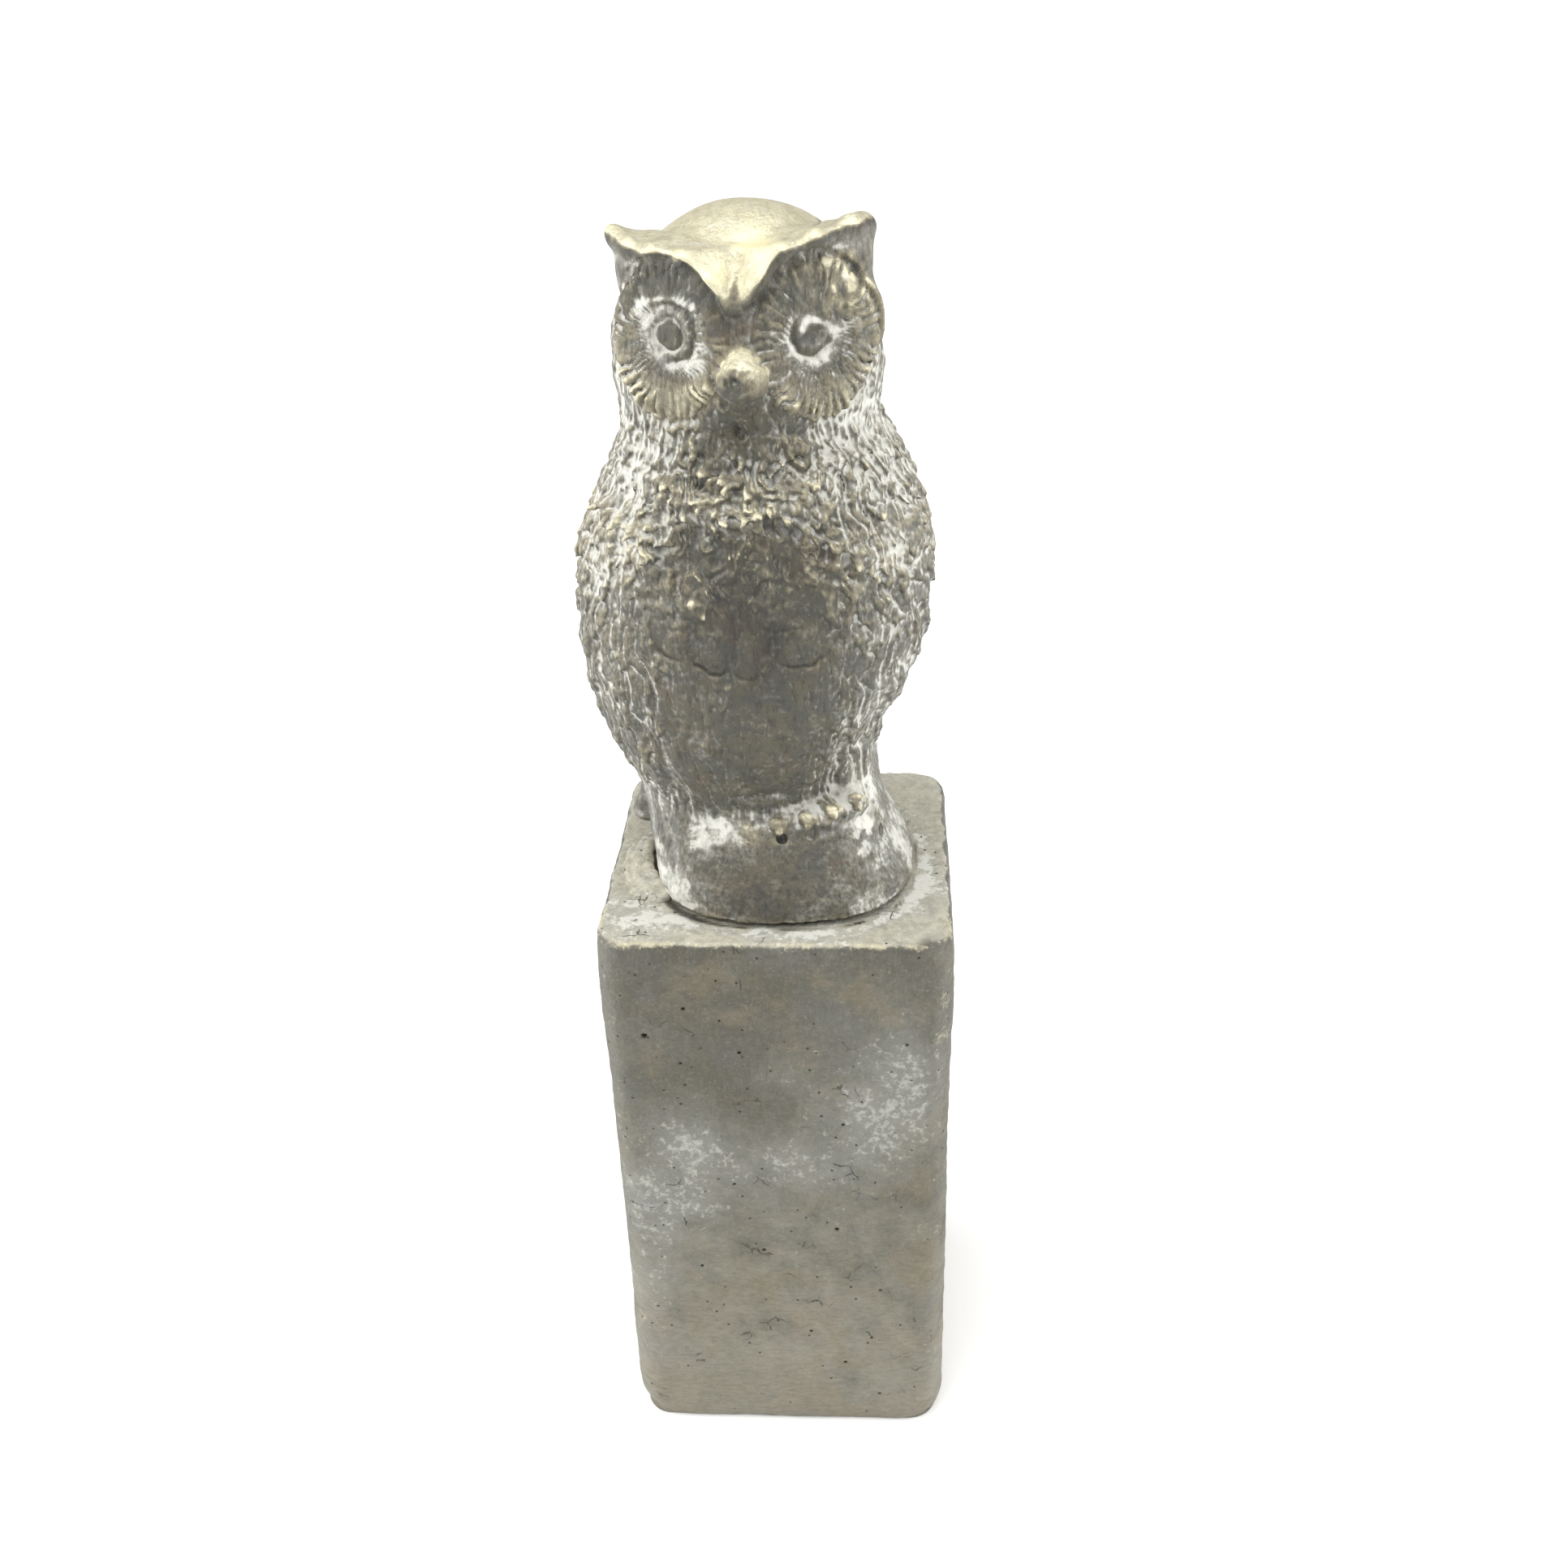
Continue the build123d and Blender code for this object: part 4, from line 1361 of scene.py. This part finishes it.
def owl_paint():
    """Taupe cement, whitewash in what lies deep, dry-brushed gold on what stands out, painted highlights on
    the gold, and painted shade in hollows and under overhangs.
    """
    material, shader = plain_material("owl_paint", TAUPE, 0.6)
    n = Nodes(material)
    grain = n.noise(0.6, 6, 0.65)
    strokes = n.noise(0.9, 4, 0.6, (1.0, 1.0, 0.3))
    wash = n.sum(n.sum(n.layer("wash"), n.centred(1.6, 9, 0.75), 1.0), n.sum(strokes, -0.5), 0.5)
    gold = n.sum(n.layer("gold"), n.centred(0.8, 6, 0.7), 0.9)
    colour = n.tinted(
        TAUPE,
        (n.noise(5.0, 6, 0.65), 0.38, 0.62, 1.0, SLATE),
        (n.noise(7.0, 5, 0.65, (0.8, 0.8, 1.2)), 0.55, 0.75, 0.7, RUST),
        (n.noise(2.4, 5, 0.7), 0.54, 0.70, 0.5, UMBER),
        (n.noise(3.1, 6, 0.7), 0.54, 0.68, 0.4, DRY),
        (gold, -0.40, 0.20, 0.75, BRONZE),
        (strokes, 0.46, 0.34, 0.45, UMBER),
        (wash, -0.35, 0.45, 0.38, WHITEWASH),
        (wash, 0.08, 0.34, 0.50, WHITEWASH),
        (wash, 0.34, 0.62, 0.75, WHITEWASH),
        # painted shade, and the few real marks, from the depth layer, deepened towards umber
        (n.layer("depth"), 0.1, 0.8, 0.9, UMBER),
    )
    leaf = n.tinted(
        GOLD,
        (n.noise(2.2, 8, 0.7), 0.40, 0.66, 1.0, OLD_GOLD),
        (n.noise(3.0, 9, 0.72), 0.52, 0.66, 0.7, PALE_GOLD),
        # painted highlight: where the gold layer is highest it turns pale yellow
        (gold, 1.25, 1.75, 1.0, HIGHLIGHT_GOLD),
        (n.noise(0.7, 6, 0.7, (1.0, 1.0, 0.4)), 0.44, 0.34, 0.35, BRONZE),
    )
    gilded = n.step(gold, 0.12, 0.62, 0.0, 0.94)
    plain = n.step(gilded, 0.0, 1.0, 1.0, 0.5)
    n.feed(
        shader,
        Base_Color=n.mix(gilded, colour, leaf),
        Metallic=n.step(gilded, 0.0, 1.0, 0.12, 0.55),
        Roughness=n.step(gilded, 0.0, 1.0, 0.52, 0.40),
        Normal=n.raised(grain, 0.22, n.raised(n.times(strokes, plain), 0.50)),
    )
    return material


def plinth_paint(name, low, high):
    """Brushed cement paint that is darker upwards, partly its own tone and partly painted light from the
    floor below, with whitewash, pinholes and cracks darkened as painted shade, and gold edges.
    """
    material, shader = plain_material(name, low, 0.6)
    n = Nodes(material)
    rise = n.layer("rise")
    grain = n.noise(0.7, 8, 0.7)
    drag = n.noise(1.0, 8, 0.75, (0.35, 0.35, 1.0))
    pour = n.noise(1.0, 6, 0.65, (1.0, 1.0, 0.18))
    crumbs = n.centred(1.6, 10, 0.78)
    wash = n.sum(n.layer("wash"), crumbs, 0.7)
    gold = n.sum(n.layer("gold"), n.centred(1.1, 8, 0.75), 1.9)
    base = n.tinted(
        low,
        # darker upwards, lighter towards the foot: partly tone, partly painted light from the floor
        (n.sum(rise, n.centred(9.0, 6, 0.6), 1.0), 0.08, 0.74, 1.0, high),
        (n.noise(15.0, 6, 0.65, (1.0, 1.0, 1.3)), 0.50, 0.66, 0.55, OCHRE),
        (n.noise(19.0, 6, 0.65), 0.52, 0.66, 0.4, SLATE_BLUE),
        (n.sum(n.noise(12.0, 6, 0.65), rise, -0.25), 0.42, 0.60, 0.45, CLAY_TINT),
        (rise, 0.955, 0.988, 0.65, DRAGGED),
        (rise, 0.996, 0.9995, 1.0, DECK_TONE),
        (drag, 0.40, 0.64, 0.40, DRAGGED),
        (grain, 0.50, 0.72, 0.42, DRY),
        (pour, 0.50, 0.70, 0.35, OCHRE),
        (wash, -0.30, 0.40, 0.50, HAZE),
    )
    specks = n.sum(n.noise(1.7, 8, 0.72), n.layer("wash"), 0.40)
    specks = n.step(n.sum(specks, n.centred(5.0, 4, 0.6), 0.35), 0.58, 0.74)
    chalk = n.step(rise, 0.98, 1.0, 0.40, 0.92)
    colour = n.mix(n.times(chalk, specks), base, WHITEWASH)
    gilded = n.step(gold, 0.25, 0.75, 0.0, 0.8)
    colour = n.mix(gilded, colour, n.mix(n.step(grain, 0.36, 0.55), GOLD, OLD_GOLD))
    # Painted shade: the pinholes and cracks are darkened towards umber, together with the depth layer.
    holes, cracks = n.pinholes(4.0, 0.30), n.cracks(6.0, 0.13)
    sunk = n.sum(n.sum(n.layer("depth"), holes), cracks, 0.7)
    relief = n.raised(drag, 0.45, n.raised(pour, 0.12))
    relief = n.raised(n.sum(grain, crumbs, 0.5), 0.32, relief)
    n.feed(
        shader,
        Base_Color=n.tinted(colour, (sunk, 0.2, 0.8, 0.9, UMBER)),
        Metallic=n.step(gilded, 0.0, 1.0, 0.08, 0.65),
        Roughness=n.step(gilded, 0.0, 1.0, 0.56, 0.38),
        Normal=n.raised(n.sum(n.times(holes, -1.0), cracks, -1.0), 0.35, relief),
    )
    return material


# ---------------------------------------------------------------- stage


CAMERA_PLACE = (21.9, -325.5, 342.6)
CAMERA_TURN = (-3.67, 29.18, -1.79)  # yaw, pitch and roll, in degrees
CAMERA_LENS = 38.69
SENSOR = 36.0
FLOOR_HALF = 12.0  # metres
FLOOR_TONE = (0.93, 0.93, 0.925)
ROOM_STRENGTH = 0.34
SKY_STRENGTH = 3.2
SKY_SPREAD = math.radians(75)
SKY_FROM = (-0.12, -0.30, 1.0)
SIDE_LIGHTS = {"left": (-0.75, -0.05, 0.35), "right": (0.75, 0.0, 0.35)}  # metres
SIDE_TARGET = (0, 0, 0.2)
SIDE_SIZE = 0.6
SIDE_POWER = 4.0


def add_camera():
    """The camera, a little right of the owl's face and well above it, looking down."""
    yaw, pitch, roll = (math.radians(angle) for angle in CAMERA_TURN)
    ahead = Vector((math.sin(yaw) * math.cos(pitch), math.cos(yaw) * math.cos(pitch), -math.sin(pitch)))
    right = Vector((math.cos(yaw), -math.sin(yaw), 0))
    up = right.cross(ahead)
    level_right = right * math.cos(roll) + up * math.sin(roll)
    level_up = up * math.cos(roll) - right * math.sin(roll)
    turn = Matrix((level_right, level_up, -ahead)).transposed().to_4x4()
    data = bpy.data.cameras.new("camera")
    data.sensor_width = SENSOR
    data.lens = CAMERA_LENS
    data.clip_start, data.clip_end = 0.01, 60.0
    camera = add_object("camera", data)
    camera.matrix_world = Matrix.Translation(Vector(CAMERA_PLACE) * MM) @ turn
    bpy.context.scene.camera = camera


def add_floor():
    """A wide pale floor."""
    data = bpy.data.meshes.new("floor")
    corners = [(x * FLOOR_HALF, y * FLOOR_HALF, 0) for x, y in ((-1, -1), (1, -1), (1, 1), (-1, 1))]
    data.from_pydata(corners, [], [(0, 1, 2, 3)])
    data.materials.append(plain_material("floor_white", FLOOR_TONE, 0.9)[0])
    floor = add_object("floor", data)


def add_light(name, place):
    """A square soft light that looks at the owl."""
    data = bpy.data.lights.new(name, "AREA")
    data.size = SIDE_SIZE
    data.energy = SIDE_POWER
    light = add_object(name, data)
    light.location = place
    light.rotation_euler = (Vector(SIDE_TARGET) - Vector(place)).to_track_quat("-Z", "Y").to_euler()


def add_lights():
    """A dim white room, a broad light from above, and a soft light on each side."""
    world = bpy.data.worlds.new("studio")
    world.use_nodes = True
    background = world.node_tree.nodes["Background"]
    background.inputs["Color"].default_value = (1, 1, 1, 1)
    background.inputs["Strength"].default_value = ROOM_STRENGTH
    bpy.context.scene.world = world
    sky = bpy.data.lights.new("sky", "SUN")
    sky.energy = SKY_STRENGTH
    sky.angle = SKY_SPREAD
    add_object("sky", sky).rotation_euler = Vector(SKY_FROM).to_track_quat("Z", "Y").to_euler()
    for name, place in SIDE_LIGHTS.items():
        add_light(name, place)
    bpy.context.scene.view_settings.view_transform = "Standard"


# ---------------------------------------------------------------- the making

add_camera()
add_floor()
add_lights()

owl = owl_mesh()
sculpt_owl(owl)
finished_object(owl, owl_paint(), "owl_cement", "owl_figure")
plinth = plinth_mesh()
finished_object(plinth, plinth_paint("plinth_paint", *PLINTH_TONES), "plinth_cement", "plinth")
mortar = mortar_mesh()
finished_object(mortar, plinth_paint("mortar_paint", *MORTAR_TONES), "mortar", "mortar_bed")
